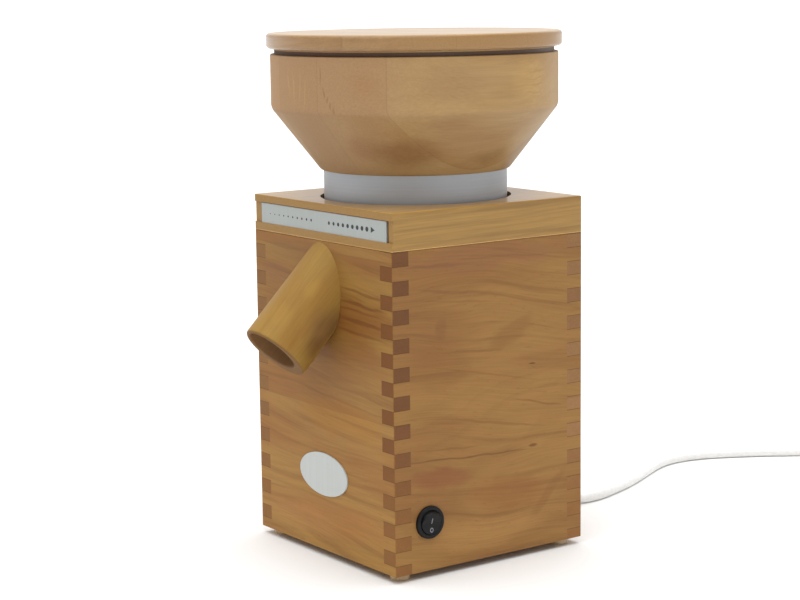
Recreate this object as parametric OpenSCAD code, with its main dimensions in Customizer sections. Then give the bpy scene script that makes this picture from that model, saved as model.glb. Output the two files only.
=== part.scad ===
// Electric grain mill: a finger-jointed wooden case with a turned hopper on an adjusting
// collar, a slanted flour spout, and a motor hung under the grinding chamber that drives the
// lower of two millstones. Millimetres. +Z is up and the front faces -Y. The pieces are drawn
// round the mill's own axis, and at_mill() moves them so that the box is centred on the origin.

/* [Case] */
// Width of the case, left to right
case_w = 175; // [168:1:195]
// Depth of the case, front to back
case_d = 170; // [164:1:190]
// Height of the four upright panels
case_h = 227.5; // [224:0.5:260]
// Thickness of the upright panels
board_t = 14; // [12:0.5:15]
// Height of one finger; they are counted down from the cover, and the lowest is what is left
finger_h = 10; // [8:0.5:15]
// Easing of the long edges
edge_r = 1.2; // [0.5:0.1:2]
// Thickness of the top cover
cover_t = 27; // [25:0.5:32]
// Radius of the hole in the top cover
cover_hole_r = 70; // [69.8:0.1:72]
// Thickness of the base plate
base_t = 9; // [7:0.5:11]
// Ventilation slots in each half of the base plate
vent_count = 6; // [3:1:7]
// Width of one ventilation slot
vent_w = 4; // [2:0.5:5]
// Length of one ventilation slot
vent_l = 46; // [20:1:52]
// Radius of a foot
foot_r = 7; // [5:0.5:8]
// Height of a foot
foot_h = 5.5; // [2:0.5:8]
// Distance of a foot's centre from the case's faces
foot_inset = 12.5; // [9:0.5:13]

/* [Scale and badge] */
// Height of the groove across the front of the cover
groove_h = 15.2; // [12:0.2:18]
// Depth of that groove
groove_depth = 1.5; // [1:0.1:3]
// Length of the scale strip
strip_l = 159; // [120:1:166]
// Thickness of the scale strip
strip_t = 1; // [0.6:0.1:1]
// Width of the oval badge
badge_w = 61; // [40:1:80]
// Height of the oval badge
badge_h = 31.5; // [20:0.5:40]
// Thickness of the badge
badge_t = 1; // [0.5:0.1:2]
// Height of the badge's centre above the floor
badge_z = 62.5; // [50:0.5:90]

/* [Hopper] */
// Height of collar that shows between the cover and the bowl
collar_show = 20; // [12:0.5:30]
// Radius of the collar where it shows
collar_r = 67.1; // [67:0.1:68]
// Radius of the collar's threaded part
thread_r = 66; // [65:0.1:66.4]
// Wall of the collar at its threaded part
collar_wall = 6; // [4:0.5:7]
// Radius of the bowl's underside
bowl_foot_r = 69; // [68:0.5:76]
// Radius of the bowl above its crease
bowl_r = 104.5; // [95:0.5:120]
// Height of the bowl's cone
cone_h = 45.5; // [40:0.5:60]
// Height of the straight wall above the cone
wall_h = 38.5; // [30:0.5:60]
// Wall of the bowl
bowl_wall = 8; // [6:0.5:10]
// Width of the blocks that the bowl is glued up from
bowl_block_w = 46.7; // [44:0.1:50]
// Rounding of the bowl's crease
crease_r = 9; // [2:0.5:16]
// Rounding of the bowl's lower edge
foot_round = 3; // [1:0.5:6]
// Radius of the bowl's throat
throat_r = 32; // [26:0.5:36]
// Straight length of the throat
throat_l = 10; // [6:0.5:14]
// Step at the rim under the lid
rim_step_h = 4; // [2:0.5:6]
// Depth of that step, inwards
rim_step_in = 3; // [1:0.5:4]
// Radius of the lid
lid_r = 107.2; // [100:0.2:125]
// Thickness of the lid
lid_t = 11; // [8:0.5:16]
// Height of the plug that centres the lid in the bowl
lid_plug_h = 6; // [4:0.5:8]
// Rounding of the lid's edge
lid_round = 2.6; // [1:0.1:4]

/* [Spout] */
// Outer radius of the spout
spout_r = 25; // [20:0.5:30]
// Radius of the spout's bore
spout_bore_r = 19; // [14:0.5:20]
// How far the bore lies off the spout's axis, towards its upper side
spout_bore_off = 3; // [0:0.5:3]
// Length of the spout's axis outside the case
spout_l = 57; // [45:0.5:75]
// Slope of the spout below the horizontal
spout_slope = 45; // [40:1:50]
// Depth of the spout's axis at the case, below the cover
spout_drop = 36.5; // [34:0.5:42]
// Rounding of the spout's mouth on the outside
spout_round = 2; // [1:0.5:3]
// Easing of the spout's mouth on the inside
spout_bore_ease = 0.8; // [0.4:0.1:1.2]

/* [Grinding chamber] */
// Inner radius of the chamber's cup
cup_r = 56; // [54:0.5:57]
// Wall of the cup
cup_wall = 6; // [5.5:0.5:7]
// Depth of the cup below the top cover
cup_depth = 33; // [31:0.5:36]
// Thickness of the cup's floor
cup_floor_t = 5; // [4:0.5:8]
// Thickness of the flange under the top cover
flange_t = 6; // [5:0.5:9]
// Gap between the flange and the panels
flange_gap = 3.5; // [2:0.5:5]
// Height of the threaded neck
neck_h = 19; // [14:0.5:20]
// Width of the flour outlet
outlet_w = 20; // [12:1:22]
// Height of the flour outlet
outlet_h = 22; // [14:1:22]

/* [Millstones] */
// Radius of both stones
stone_r = 42.5; // [38:0.5:44]
// Thickness of each stone
stone_h = 24; // [20:0.5:24]
// Radius of the upper stone's eye
eye_r = 12.5; // [10:0.5:15]
// Gap between the stones as the mill is set
grind_gap = 0.675; // [0.4:0.025:1.5]
// Depth of the furrows cut in the grinding faces
furrow_depth = 1.4; // [0.6:0.1:2.5]
// Furrows on each stone
furrow_count = 12; // [6:1:16]
// Keys that guide the upper stone's carrier
key_count = 3; // [2:1:4]

/* [Motor] */
// Radius of the motor shaft
shaft_r = 7.5; // [6:0.5:8.5]
// Height of the stator's laminations
stator_h = 60; // [40:1:64]
// Radius of the stator's bore
stator_bore_r = 28.5; // [24:0.5:30]
// Air gap between the rotor and the stator
air_gap = 0.5; // [0.3:0.1:1]
// Slots in the stator
slot_count = 24; // [12:6:24]
// Height of each end shield
shield_h = 24; // [22:0.5:28]
// Distance from the chamber's flange down to the motor
hanger_l = 55; // [50:1:60]
// Radius of the cooling fan
fan_r = 42; // [34:1:43]
// Height of the cooling fan
fan_h = 14; // [8:1:16]
// Blades on the cooling fan
fan_blades = 9; // [5:1:13]
// Radius of the capacitor
capacitor_r = 14; // [10:0.5:14]
// Length of the capacitor
capacitor_l = 60; // [45:1:70]

/* [Switch] */
// Distance of the switch's centre from the case's front face
switch_inset = 29.5; // [28:0.5:60]
// Height of the switch's centre above the panels' underside
switch_rise = 35; // [34:0.5:60]
// Radius of the switch's round bezel
bezel_r = 11.75; // [11:0.25:14]
// How far the bezel stands off the panel
bezel_t = 2.2; // [1.5:0.1:3]
// Radius of the round rocker
rocker_r = 8.7; // [7:0.1:9]
// Swing of the rocker between off and on
rocker_swing = 20; // [12:1:24]

/* [Mains lead] */
// Radius of the lead
cord_r = 3.5; // [3:0.1:4]
// Height of the lead's outlet above the panels' underside
gland_rise = 17; // [16:0.5:30]
// Length of the tapered strain relief
boot_l = 22; // [20:1:40]
// Middle radius of the coiled lead's turns
coil_r = 38.6; // [35:0.1:45]
// Radius of the plug's body
plug_r = 18; // [16:0.5:20]
// Length of the plug's body
plug_l = 34; // [26:1:40]

/* [Hidden] */
$fn = 96;

// Clearances
fit = 0.05;        // between a pin or shaft and its bore
slip = 0.3;        // between pieces that slide or turn on each other
loose = 0.2;       // round a plate that is laid in between four walls
eps = 1;           // overlap of a cutting tool past the face that it cuts

// Colours
cherry = "#c98f52";
pale_wood = "#d9a765";
steel = "#b9bcc0";
cast_alloy = "#a9adb0";
copper = "#b5713a";
plastic_black = "#1c1c1e";
plastic_white = "#dcdcda";
stone_grey = "#d8d2c4";

// Heights
base_top = foot_h + base_t;
cover_z = foot_h + case_h;
case_top = cover_z + cover_t;
cup_floor_z = cover_z - cup_depth;
flange_z = cover_z - flange_t;
hopper_z = case_top + collar_show;
crease_z = hopper_z + cone_h;
rim_z = crease_z + wall_h;
lid_z = rim_z + rim_step_h;
groove_z = case_top - 5.4 - groove_h;
finger_count = ceil(case_h / finger_h);

// Case
inner_w = case_w - 2 * board_t;
inner_d = case_d - 2 * board_t;
front_y = -case_d / 2;
block_s = 14;
block_h = 11;
block_x = inner_w / 2 - block_s / 2;
block_y = inner_d / 2 - block_s / 2;
base_screw_r = 1.75;

// Spout
spout_z = cover_z - spout_drop;
spout_reach = case_d / 2 + spout_l * cos(spout_slope) + spout_r * sin(spout_slope);
mill_y = (spout_reach - lid_r) / 2;

// Chamber
cup_out_r = cup_r + cup_wall;
neck_in_r = thread_r + slip;
neck_out_r = cover_hole_r - slip;
outlet_wall = 4;
flange_w = inner_w - 2 * flange_gap;
flange_d = inner_d - 2 * flange_gap;
chamber_screw_r = 2;
chamber_screw_in = 10;
chamber_screw_grip = 13;
seal_r = 12;
seal_h = 3.5;

// Stones and their carrier
face_z = cover_z - 4;
upper_face_z = face_z + grind_gap;
upper_top_z = upper_face_z + stone_h;
hub_z = face_z - stone_h;
collar_z = cover_z + 3;
key_w = 9;
key_h = 10;
key_in_r = cup_r - 2.5;
key_out_r = cup_out_r - 2.2;
groove_r = key_out_r + 0.4;
spring_h = 13;
spring_z = collar_z - key_h - spring_h;
spring_r = 2;
spring_wire_r = 0.5;
spring_turns = 6;
carrier_wall = 4.4;
carrier_r = stone_r + fit + carrier_wall;
carrier_flange_t = 5;
carrier_cap_t = 3.3;
carrier_top_z = upper_top_z + carrier_cap_t;
carrier_eye_r = eye_r + 5;

// Motor
sleeve_r = 4;
bolt_r = 2.5;
bolt_head_h = 3.5;
tie_xy = (cup_out_r + sleeve_r + 0.6) * sqrt(1 / 2);
stator_w = 2 * (tie_xy + 9);
stator_corner_r = 14;
shield_top = flange_z - hanger_l;
stator_top = shield_top - shield_h;
stator_z = stator_top - stator_h;
shield_bottom = stator_z - shield_h;
shield_plate_t = 6;
shield_cavity_r = 50.5;
boss_r = 22;
bearing_r = 17.5;
bearing_h = 11;
winding_r = 49;
slot_r = 46;
slot_w = 4;
rotor_r = stator_bore_r - air_gap;
shaft_top = hub_z + 11;
fan_top = shield_bottom - 4;
fan_z = fan_top - fan_h;
shaft_z = fan_z - 2;
hub_r = 26;
spigot_r = 11.8;
spigot_drop = 8;
sweeper_z = cup_floor_z + 1;
sweeper_t = 2.5;
sweeper_arm_w = 10;
sweeper_scoop_h = 10;
hub_screw_r = 3;

// Collar's screws and the step that centres the funnel
lip_t = 3;
collar_skirt = 6;
collar_screw_r = 2;
collar_screw_grip = 10.5;
mark_w = 1.8;
mark_h = 7.5;
mark_depth = 0.7;

// Electrics
switch_y = front_y + switch_inset;
switch_z = foot_h + switch_rise;
bezel_round = bezel_t / 2 - 0.1;
switch_body_r = bezel_r - 1.75;
switch_body_l = 24;
pivot_x = case_w / 2 + 0.5;
pivot_r = 1.2;
pivot_reach = rocker_r + 1;
rocker_face = 2.2;
terminal_l = 8;
clip_t = 1;
capacitor_x = -(inner_w / 2 - capacitor_r - 1.5);
capacitor_y = -5;
capacitor_z = base_top + capacitor_r + fit + clip_t;
block_l = 36;
terminal_y = 38;
terminal_d = 14;
terminal_h = 14;

// Mains lead: its outlet, its route along the floor and the coil, about the mill's axis
gland_z = foot_h + gland_rise;
gland_r = 6.5;
gland_nut_r = 7.8;
gland_flange_r = 9.5;
gland_flange_t = 2;
gland_end_y = case_d / 2 + gland_flange_t + boot_l;
cord_route = [
    [0, gland_end_y, gland_z], [0, 115, 22.4], [0, 122, 20.9], [0, 129, 18], [1, 136, 14.2],
    [1, 143, 10.4], [2, 150, 7], [2, 157, 4.7], [2, 165, 3.6], [0, 174, 3.5],
    [-3, 184, 3.5], [-7, 195, 3.5], [-12, 207, 3.5], [-18, 220, 3.5], [-24, 233, 3.5],
    [-31, 247, 3.5], [-38, 261, 3.5], [-45, 275, 3.5], [-51, 289, 3.5], [-55, 304, 3.5],
    [-56, 320, 3.5], [-53, 336, 3.5], [-47, 351, 3.5], [-38, 365, 3.5], [-28, 379, 3.5],
    [-18, 393, 3.5], [-8, 407, 3.5], [2, 421, 3.5], [13.5, 437, 3.5], [25, 453, 3.5]
];
coil_centre = [63, 426];
coil_rows = 2;
coil_w = 22.8;
tail_route = [
    [25, 453, 10.5], [29, 458.6, 10.9], [33, 464.2, 12.3], [37, 469.8, 14.6],
    [41, 475.4, 16.8], [45, 481, 17.9], [49, 486.6, 18], [52, 490.8, 18]
];
plug_at = tail_route[7];
plug_dir = [4, 5.6, 0];
plug_boot_l = 20;
plug_neck_r = 5.5;
pin_r = 2.4;
pin_l = 19;
pin_spacing = 19;

// ---------------------------------------------------------------- helpers

module at_mill() {
    translate([0, mill_y, 0]) children();
}

module tube_ring(r_out, r_in, h) {
    difference() {
        cylinder(r = r_out, h = h);
        translate([0, 0, -eps]) cylinder(r = r_in, h = h + 2 * eps);
    }
}

// A w by d rectangle about the origin with round corners
module round_rect(w, d, r) {
    square([w, d - 2 * r], center = true);
    square([w - 2 * r, d], center = true);
    for (x = [-1, 1], y = [-1, 1])
        translate([x * (w / 2 - r), y * (d / 2 - r)]) circle(r = r, $fn = 48);
}

// A block standing on z = 0 whose twelve edges are all eased by r
module eased_block(w, d, h, r) {
    intersection() {
        linear_extrude(h) round_rect(w, d, r);
        translate([0, 0, h / 2]) rotate([90, 0, 90])
            linear_extrude(w + 2 * eps, center = true) round_rect(d, h, r);
        translate([0, 0, h / 2]) rotate([90, 0, 0])
            linear_extrude(d + 2 * eps, center = true) round_rect(w, h, r);
    }
}

module corners(x, y) {
    for (sx = [-1, 1], sy = [-1, 1]) translate([sx * x, sy * y, 0]) children();
}

function unit(v) = v / norm(v);

// Points on a smooth curve through a list of points, n steps between two of them
function smooth(p, n) = concat([
    for (i = [0 : len(p) - 2], k = [0 : n - 1])
        let (
            a = p[max(i - 1, 0)], b = p[i], c = p[i + 1], d = p[min(i + 2, len(p) - 1)],
            t = k / n
        )
        0.5 * (2 * b + (c - a) * t + (2 * a - 5 * b + 4 * c - d) * t * t
            + (3 * b - a - 3 * c + d) * t * t * t)
], [p[len(p) - 1]]);

function headings(p) = [
    for (i = [0 : len(p) - 1]) unit(p[min(i + 1, len(p) - 1)] - p[max(i - 1, 0)])
];

function square_to(v, t) = unit(v - (v * t) * t);

// One sideways direction for each heading, carried along so that the tube doesn't twist
function sideways(t, start) = [
    for (i = 0, s = square_to(start, t[0]); i < len(t);
        s = i + 1 < len(t) ? square_to(s, t[i + 1]) : s, i = i + 1) s
];

// A round tube swept along a list of points
module swept_tube(p, r, sides, start = [1, 0, 0]) {
    t = headings(p);
    s = sideways(t, start);
    n = len(p);
    points = [
        for (i = [0 : n - 1], k = [0 : sides - 1])
            let (a = 360 * k / sides)
            p[i] + r * (cos(a) * s[i] + sin(a) * cross(t[i], s[i]))
    ];
    walls = [
        for (i = [0 : n - 2], k = [0 : sides - 1])
            let (k2 = (k + 1) % sides)
            [i * sides + k, (i + 1) * sides + k, (i + 1) * sides + k2, i * sides + k2]
    ];
    first = [for (k = [0 : sides - 1]) k];
    last = [for (k = [sides - 1 : -1 : 0]) (n - 1) * sides + k];
    polyhedron(points, concat([first], walls, [last]), convexity = 6);
}

// ---------------------------------------------------------------- case

module case_outline() {
    translate([0, 0, foot_h]) linear_extrude(case_h) round_rect(case_w, case_d, edge_r);
}

// Notches down a board's end: the odd or the even places counted from the top
module finger_notches(first) {
    for (i = [first : 2 : finger_count - 1])
        translate([-eps, -eps, cover_z - (i + 1) * finger_h])
            cube([board_t + eps, board_t + 2 * eps, finger_h + (i == 0 ? eps : 0)]);
}

// Front and rear board, drawn as the front one: it keeps the even fingers
module cross_board() {
    difference() {
        intersection() {
            case_outline();
            translate([-case_w / 2, front_y, foot_h]) cube([case_w, board_t, case_h]);
        }
        for (side = [0, 1]) mirror([side, 0, 0])
            translate([-case_w / 2, front_y, 0]) finger_notches(1);
    }
}

// Left and right board, drawn as the left one: it keeps the odd fingers
module side_board() {
    difference() {
        intersection() {
            case_outline();
            translate([-case_w / 2, front_y, foot_h]) cube([board_t, case_d, case_h]);
        }
        for (side = [0, 1]) mirror([0, side, 0])
            translate([-case_w / 2, front_y, 0]) mirror([1, -1, 0]) finger_notches(0);
    }
}

module front_panel() {
    color(cherry) difference() {
        cross_board();
        flour_port(board_t + eps);
    }
}

module rear_panel() {
    color(cherry) difference() {
        mirror([0, 1, 0]) cross_board();
        translate([0, case_d / 2 + eps, gland_z]) rotate([90, 0, 0])
            cylinder(r = gland_r + fit, h = board_t + 2 * eps);
    }
}

module left_panel() {
    color(cherry) side_board();
}

module right_panel() {
    color(cherry) difference() {
        mirror([1, 0, 0]) side_board();
        translate([inner_w / 2 - eps, switch_y, switch_z]) rotate([0, 90, 0])
            cylinder(r = switch_body_r + slip, h = board_t + 2 * eps);
    }
}

module top_cover() {
    color(cherry) difference() {
        translate([0, 0, cover_z]) eased_block(case_w, case_d, cover_t, edge_r);
        translate([0, 0, cover_z - eps]) cylinder(r = cover_hole_r, h = cover_t + 2 * eps);
        translate([-case_w / 2 - eps, front_y - eps, groove_z])
            cube([case_w + 2 * eps, groove_depth + eps, groove_h]);
        chamber_screw_places() translate([0, 0, flange_t])
            cylinder(r = chamber_screw_r + fit, h = chamber_screw_grip);
    }
}

module base_plate() {
    color(pale_wood) difference() {
        translate([0, 0, foot_h]) linear_extrude(base_t)
            square([inner_w - 2 * loose, inner_d - 2 * loose], center = true);
        for (half = [-1, 1], i = [0 : vent_count - 1])
            translate([(i - (vent_count - 1) / 2) * 2.5 * vent_w, half * (vent_l / 2 + 6), foot_h - eps])
                linear_extrude(base_t + 2 * eps) round_rect(vent_w, vent_l, vent_w / 2 - 0.01);
        base_screw_places() {
            translate([0, 0, -eps]) cylinder(r = base_screw_r + fit, h = base_t + 2 * eps);
            translate([0, 0, -eps]) cylinder(r = 2 * base_screw_r + fit, h = 0.4 + eps);
            translate([0, 0, 0.4])
                cylinder(r1 = 2 * base_screw_r + fit, r2 = base_screw_r + fit, h = base_screw_r);
        }
    }
}

module base_screw_places() {
    corners(block_x, block_y) translate([0, 0, foot_h]) children();
}

module corner_blocks() {
    color(pale_wood) difference() {
        corners(block_x, block_y) translate([-block_s / 2, -block_s / 2, base_top])
            cube([block_s, block_s, block_h]);
        base_screw_places() translate([0, 0, base_t - eps])
            cylinder(r = base_screw_r + fit, h = block_h - 3 + eps);
    }
}

module base_screws() {
    color(steel) base_screw_places() {
        translate([0, 0, 0.4]) cylinder(r1 = 2 * base_screw_r, r2 = base_screw_r, h = base_screw_r);
        translate([0, 0, 0.4]) cylinder(r = base_screw_r, h = base_t + block_h - 3.4);
    }
}

module feet() {
    color("#c9cbc6") corners(case_w / 2 - foot_inset, case_d / 2 - foot_inset)
        rotate_extrude() {
            translate([0, 0.6]) square([foot_r, foot_h - 0.6]);
            square([foot_r - 0.6, foot_h]);
            translate([foot_r - 0.6, 0.6]) circle(r = 0.6, $fn = 32);
        }
}

module scale_strip() {
    color("#cfd3d6") translate([1.3 - strip_l / 2, front_y + groove_depth - strip_t, groove_z])
        cube([strip_l, strip_t, groove_h - 0.6]);
}

module badge() {
    outline = [for (a = [0 : 6 : 354]) [badge_w / 2 * cos(a), badge_h / 2 * sin(a)]];
    color("#dfe1e2") translate([0, front_y, badge_z]) rotate([90, 0, 0])
        linear_extrude(badge_t) polygon(outline);
}

module spout() {
    color(pale_wood) difference() {
        translate([0, front_y, spout_z]) rotate([spout_slope - 90, 0, 0]) difference() {
            rotate_extrude() spout_profile();
            translate([0, -spout_bore_off, -spout_l - eps])
                cylinder(r = spout_bore_r, h = spout_l + 3 * spout_r);
            translate([0, -spout_bore_off, -spout_l - 0.01])
                cylinder(r1 = spout_bore_r + spout_bore_ease, r2 = spout_bore_r, h = spout_bore_ease);
        }
        translate([-2 * spout_r, front_y, spout_z - 3 * spout_r])
            cube([4 * spout_r, 4 * spout_r, 6 * spout_r]);
    }
}

// Half section of the spout, mouth down, before its upper end is cut off at the case
module spout_profile() {
    translate([0, -spout_l + spout_round]) square([spout_r, spout_l + 2 * spout_r]);
    translate([0, -spout_l]) square([spout_r - spout_round, spout_l]);
    translate([spout_r - spout_round, -spout_l + spout_round]) circle(r = spout_round, $fn = 48);
}

// ---------------------------------------------------------------- grinding chamber

module chamber_screw_places() {
    corners(flange_w / 2 - chamber_screw_in, flange_d / 2 - chamber_screw_in)
        translate([0, 0, flange_z]) children();
}

module key_places() {
    for (i = [0 : key_count - 1]) rotate([0, 0, 90 + 360 * i / key_count]) children();
}

// The flour's way out, from in front of the case to the given depth behind its face
module flour_port(depth) {
    translate([-outlet_w / 2, front_y - eps, cup_floor_z]) cube([outlet_w, depth + eps, outlet_h]);
}

module grinding_chamber() {
    color(cast_alloy) difference() {
        union() {
            translate([0, 0, cup_floor_z - cup_floor_t])
                cylinder(r = cup_out_r, h = cup_depth + cup_floor_t);
            translate([0, 0, flange_z]) linear_extrude(flange_t)
                round_rect(flange_w, flange_d, 12);
            translate([0, 0, cover_z - eps]) cylinder(r = neck_out_r, h = neck_h + eps);
            translate([-outlet_w / 2 - outlet_wall, -inner_d / 2, cup_floor_z - outlet_wall])
                cube([outlet_w + 2 * outlet_wall, inner_d / 2 - cup_r, outlet_h + 2 * outlet_wall]);
        }
        translate([0, 0, cup_floor_z]) cylinder(r = cup_r, h = cup_depth + eps);
        translate([0, 0, cover_z]) cylinder(r = neck_in_r, h = neck_h + eps);
        flour_port(case_d / 2 - cup_r / 2);
        key_places() intersection() {
            translate([0, 0, spring_z]) cylinder(r = groove_r, h = cover_z - spring_z + eps);
            translate([0, -key_w / 2 - slip, spring_z])
                cube([2 * cup_r, key_w + 2 * slip, 3 * key_h + spring_h]);
        }
        translate([0, 0, cup_floor_z - cup_floor_t - eps])
            cylinder(r = seal_r + fit, h = seal_h + eps);
        translate([0, 0, cup_floor_z - cup_floor_t]) cylinder(r = seal_r - 2, h = 2 * cup_floor_t);
        chamber_screw_places() translate([0, 0, -eps])
            cylinder(r = chamber_screw_r + fit, h = flange_t + 2 * eps);
        corners(tie_xy, tie_xy) translate([0, 0, flange_z - eps])
            cylinder(r = bolt_r + fit, h = flange_t - 1 + eps);
    }
}

module chamber_screws() {
    color(steel) chamber_screw_places() {
        translate([0, 0, -3]) cylinder(r = 2 * chamber_screw_r, h = 3);
        translate([0, 0, -0.5]) cylinder(r = chamber_screw_r, h = flange_t + chamber_screw_grip);
    }
}

module shaft_seal() {
    color(plastic_black) translate([0, 0, cup_floor_z - cup_floor_t])
        tube_ring(seal_r, shaft_r + slip, seal_h);
}

module lift_springs() {
    steps = 10;
    mid_r = spring_r - spring_wire_r;
    rise = spring_h - 2 * spring_wire_r;
    helix = [
        for (i = [0 : steps * spring_turns])
            let (a = 360 * i / steps)
            [mid_r * cos(a), mid_r * sin(a), spring_wire_r + rise * i / (steps * spring_turns)]
    ];
    color(steel) key_places() translate([groove_r - spring_r - 0.15, 0, spring_z])
        swept_tube(helix, spring_wire_r, 6, [1, 0, 0]);
}

// ---------------------------------------------------------------- millstones

// Slanted furrows across a grinding face that lies at z = 0, cut downwards
module furrows() {
    for (i = [0 : furrow_count - 1]) rotate([0, 0, 360 * i / furrow_count])
        translate([eye_r + 3, -1.5, -furrow_depth]) rotate([0, 0, 18])
            cube([stone_r, 3, furrow_depth + eps]);
}

module upper_stone() {
    color(stone_grey) translate([0, 0, upper_face_z]) difference() {
        cylinder(r = stone_r, h = stone_h);
        translate([0, 0, -eps]) cylinder(r = eye_r, h = stone_h + 2 * eps);
        translate([0, 0, -0.01]) cylinder(r1 = eye_r + 10, r2 = eye_r, h = 4);
        translate([0, 0, stone_h - 4]) cylinder(r1 = eye_r, r2 = carrier_eye_r, h = 4.01);
        mirror([0, 0, 1]) furrows();
    }
}

module stone_carrier() {
    color(cast_alloy) difference() {
        union() {
            translate([0, 0, collar_z - carrier_flange_t]) cylinder(r = cup_r - 0.5, h = carrier_flange_t);
            translate([0, 0, collar_z - eps]) cylinder(r = carrier_r, h = carrier_top_z - collar_z + eps);
        }
        translate([0, 0, collar_z - carrier_flange_t - eps])
            cylinder(r = stone_r + fit, h = upper_top_z - collar_z + carrier_flange_t + eps);
        translate([0, 0, upper_top_z - eps]) cylinder(r = carrier_eye_r, h = carrier_cap_t + 2 * eps);
        key_places() translate([key_in_r, -key_w / 2, collar_z - key_h])
            cube([cup_wall, key_w, key_h + eps]);
    }
}

// Blocks let into the carrier's flange, which run in the chamber's grooves on the lift springs
module guide_keys() {
    color(steel) key_places() intersection() {
        translate([0, 0, collar_z - key_h]) cylinder(r = key_out_r, h = key_h);
        translate([key_in_r, -key_w / 2, collar_z - key_h]) cube([2 * cup_wall, key_w, key_h]);
    }
}

module lower_stone() {
    color(stone_grey) translate([0, 0, hub_z]) difference() {
        cylinder(r = stone_r, h = stone_h);
        translate([0, 0, -eps]) cylinder(r = spigot_r + fit, h = stone_h + 2 * eps);
        translate([0, 0, stone_h - spigot_drop]) cylinder(r = spigot_r + 2, h = spigot_drop + eps);
        translate([0, 0, stone_h]) furrows();
    }
}

module runner_hub() {
    color(steel) difference() {
        union() {
            translate([0, 0, sweeper_z + sweeper_t])
                cylinder(r = hub_r, h = hub_z - sweeper_z - sweeper_t);
            translate([0, 0, hub_z - eps]) cylinder(r = spigot_r, h = stone_h - spigot_drop + eps);
        }
        translate([0, 0, sweeper_z]) cylinder(r = shaft_r + fit, h = shaft_top - sweeper_z);
        translate([0, 0, shaft_top - eps]) cylinder(r = hub_screw_r + fit, h = stone_h);
    }
}

module hub_screw() {
    washer_z = hub_z + stone_h - spigot_drop;
    color(steel) {
        translate([0, 0, washer_z]) tube_ring(spigot_r + 1.6, hub_screw_r + fit, 2);
        translate([0, 0, washer_z + 2]) cylinder(r = 5, h = 4);
        translate([0, 0, shaft_top - 14]) cylinder(r = hub_screw_r, h = washer_z + 3 - shaft_top + 14);
    }
}

module flour_sweeper() {
    tip_r = cup_r - 2;
    color("#8f9396") difference() {
        translate([0, 0, sweeper_z]) union() {
            cylinder(r = hub_r, h = sweeper_t);
            for (a = [0, 120, 240]) rotate([0, 0, a]) intersection() {
                union() {
                    translate([0, -sweeper_arm_w / 2, 0]) cube([tip_r + eps, sweeper_arm_w, sweeper_t]);
                    translate([tip_r - 3, -sweeper_arm_w / 2, 0])
                        cube([3 + eps, sweeper_arm_w, sweeper_scoop_h]);
                }
                cylinder(r = tip_r, h = sweeper_scoop_h + eps);
            }
        }
        translate([0, 0, sweeper_z - eps]) cylinder(r = shaft_r + fit, h = 3 * sweeper_t);
    }
}

// ---------------------------------------------------------------- motor

module tie_places() {
    corners(tie_xy, tie_xy) children();
}

module tie_bolts() {
    color(steel) tie_places() {
        translate([0, 0, shield_bottom - bolt_head_h]) cylinder(r = 4.5, h = bolt_head_h);
        translate([0, 0, shield_bottom - 1]) cylinder(r = bolt_r, h = cover_z - 1.5 - shield_bottom + 1);
    }
}

module hanger_sleeves() {
    color(steel) tie_places() translate([0, 0, shield_top])
        tube_ring(sleeve_r, bolt_r + 0.2, hanger_l);
}

module stator() {
    color("#6d7073") translate([0, 0, stator_z]) linear_extrude(stator_h) difference() {
        round_rect(stator_w, stator_w, stator_corner_r);
        circle(r = stator_bore_r);
        for (i = [0 : slot_count - 1]) rotate(360 * i / slot_count)
            translate([stator_bore_r - eps, -slot_w / 2]) square([slot_r - stator_bore_r + eps, slot_w]);
        corners(tie_xy, tie_xy) circle(r = bolt_r + 0.2);
    }
}

module windings() {
    turn_h = 13;
    color(copper) {
        for (z = [stator_z - turn_h, stator_top]) translate([0, 0, z])
            tube_ring(winding_r, stator_bore_r + 2.5, turn_h);
        translate([0, 0, stator_z - eps]) linear_extrude(stator_h + 2 * eps)
            for (i = [0 : slot_count - 1]) rotate(360 * i / slot_count)
                translate([stator_bore_r + 3, 0.3 - slot_w / 2])
                    square([slot_r - stator_bore_r - 3.3, slot_w - 0.6]);
    }
}

// The upper end shield, drawn with its open side down and standing on z = 0
module end_shield() {
    color(cast_alloy) difference() {
        union() {
            difference() {
                linear_extrude(shield_h) round_rect(stator_w, stator_w, stator_corner_r);
                translate([0, 0, -eps])
                    cylinder(r = shield_cavity_r, h = shield_h - shield_plate_t + eps);
            }
            translate([0, 0, shield_h - bearing_h - 3]) cylinder(r = boss_r, h = bearing_h + 3);
        }
        translate([0, 0, shield_h - bearing_h]) cylinder(r = bearing_r + fit, h = bearing_h + eps);
        cylinder(r = shaft_r + 2, h = shield_h);
        tie_places() translate([0, 0, -eps]) cylinder(r = bolt_r + 0.2, h = shield_h + 2 * eps);
        for (a = [22.5 : 45 : 360]) rotate([0, 0, a])
            translate([(boss_r + shield_cavity_r) / 2, 0, shield_h - shield_plate_t - eps])
                cylinder(r = 7, h = shield_plate_t + 2 * eps);
    }
}

module upper_end_shield() {
    translate([0, 0, stator_top]) end_shield();
}

module lower_end_shield() {
    translate([0, 0, stator_z]) mirror([0, 0, 1]) end_shield();
}

module bearings() {
    for (z = [shield_bottom, shield_top - bearing_h]) color(steel) translate([0, 0, z])
        difference() {
            tube_ring(bearing_r, shaft_r + fit, bearing_h);
            for (face = [-0.01, bearing_h - 0.49]) translate([0, 0, face])
                tube_ring(bearing_r - 2.5, shaft_r + 2.5, 0.5);
        }
}

module motor_shaft() {
    color(steel) translate([0, 0, shaft_z]) difference() {
        cylinder(r = shaft_r, h = shaft_top - shaft_z);
        translate([0, 0, shaft_top - shaft_z - 15]) cylinder(r = hub_screw_r + fit, h = 15 + eps);
    }
}

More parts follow.
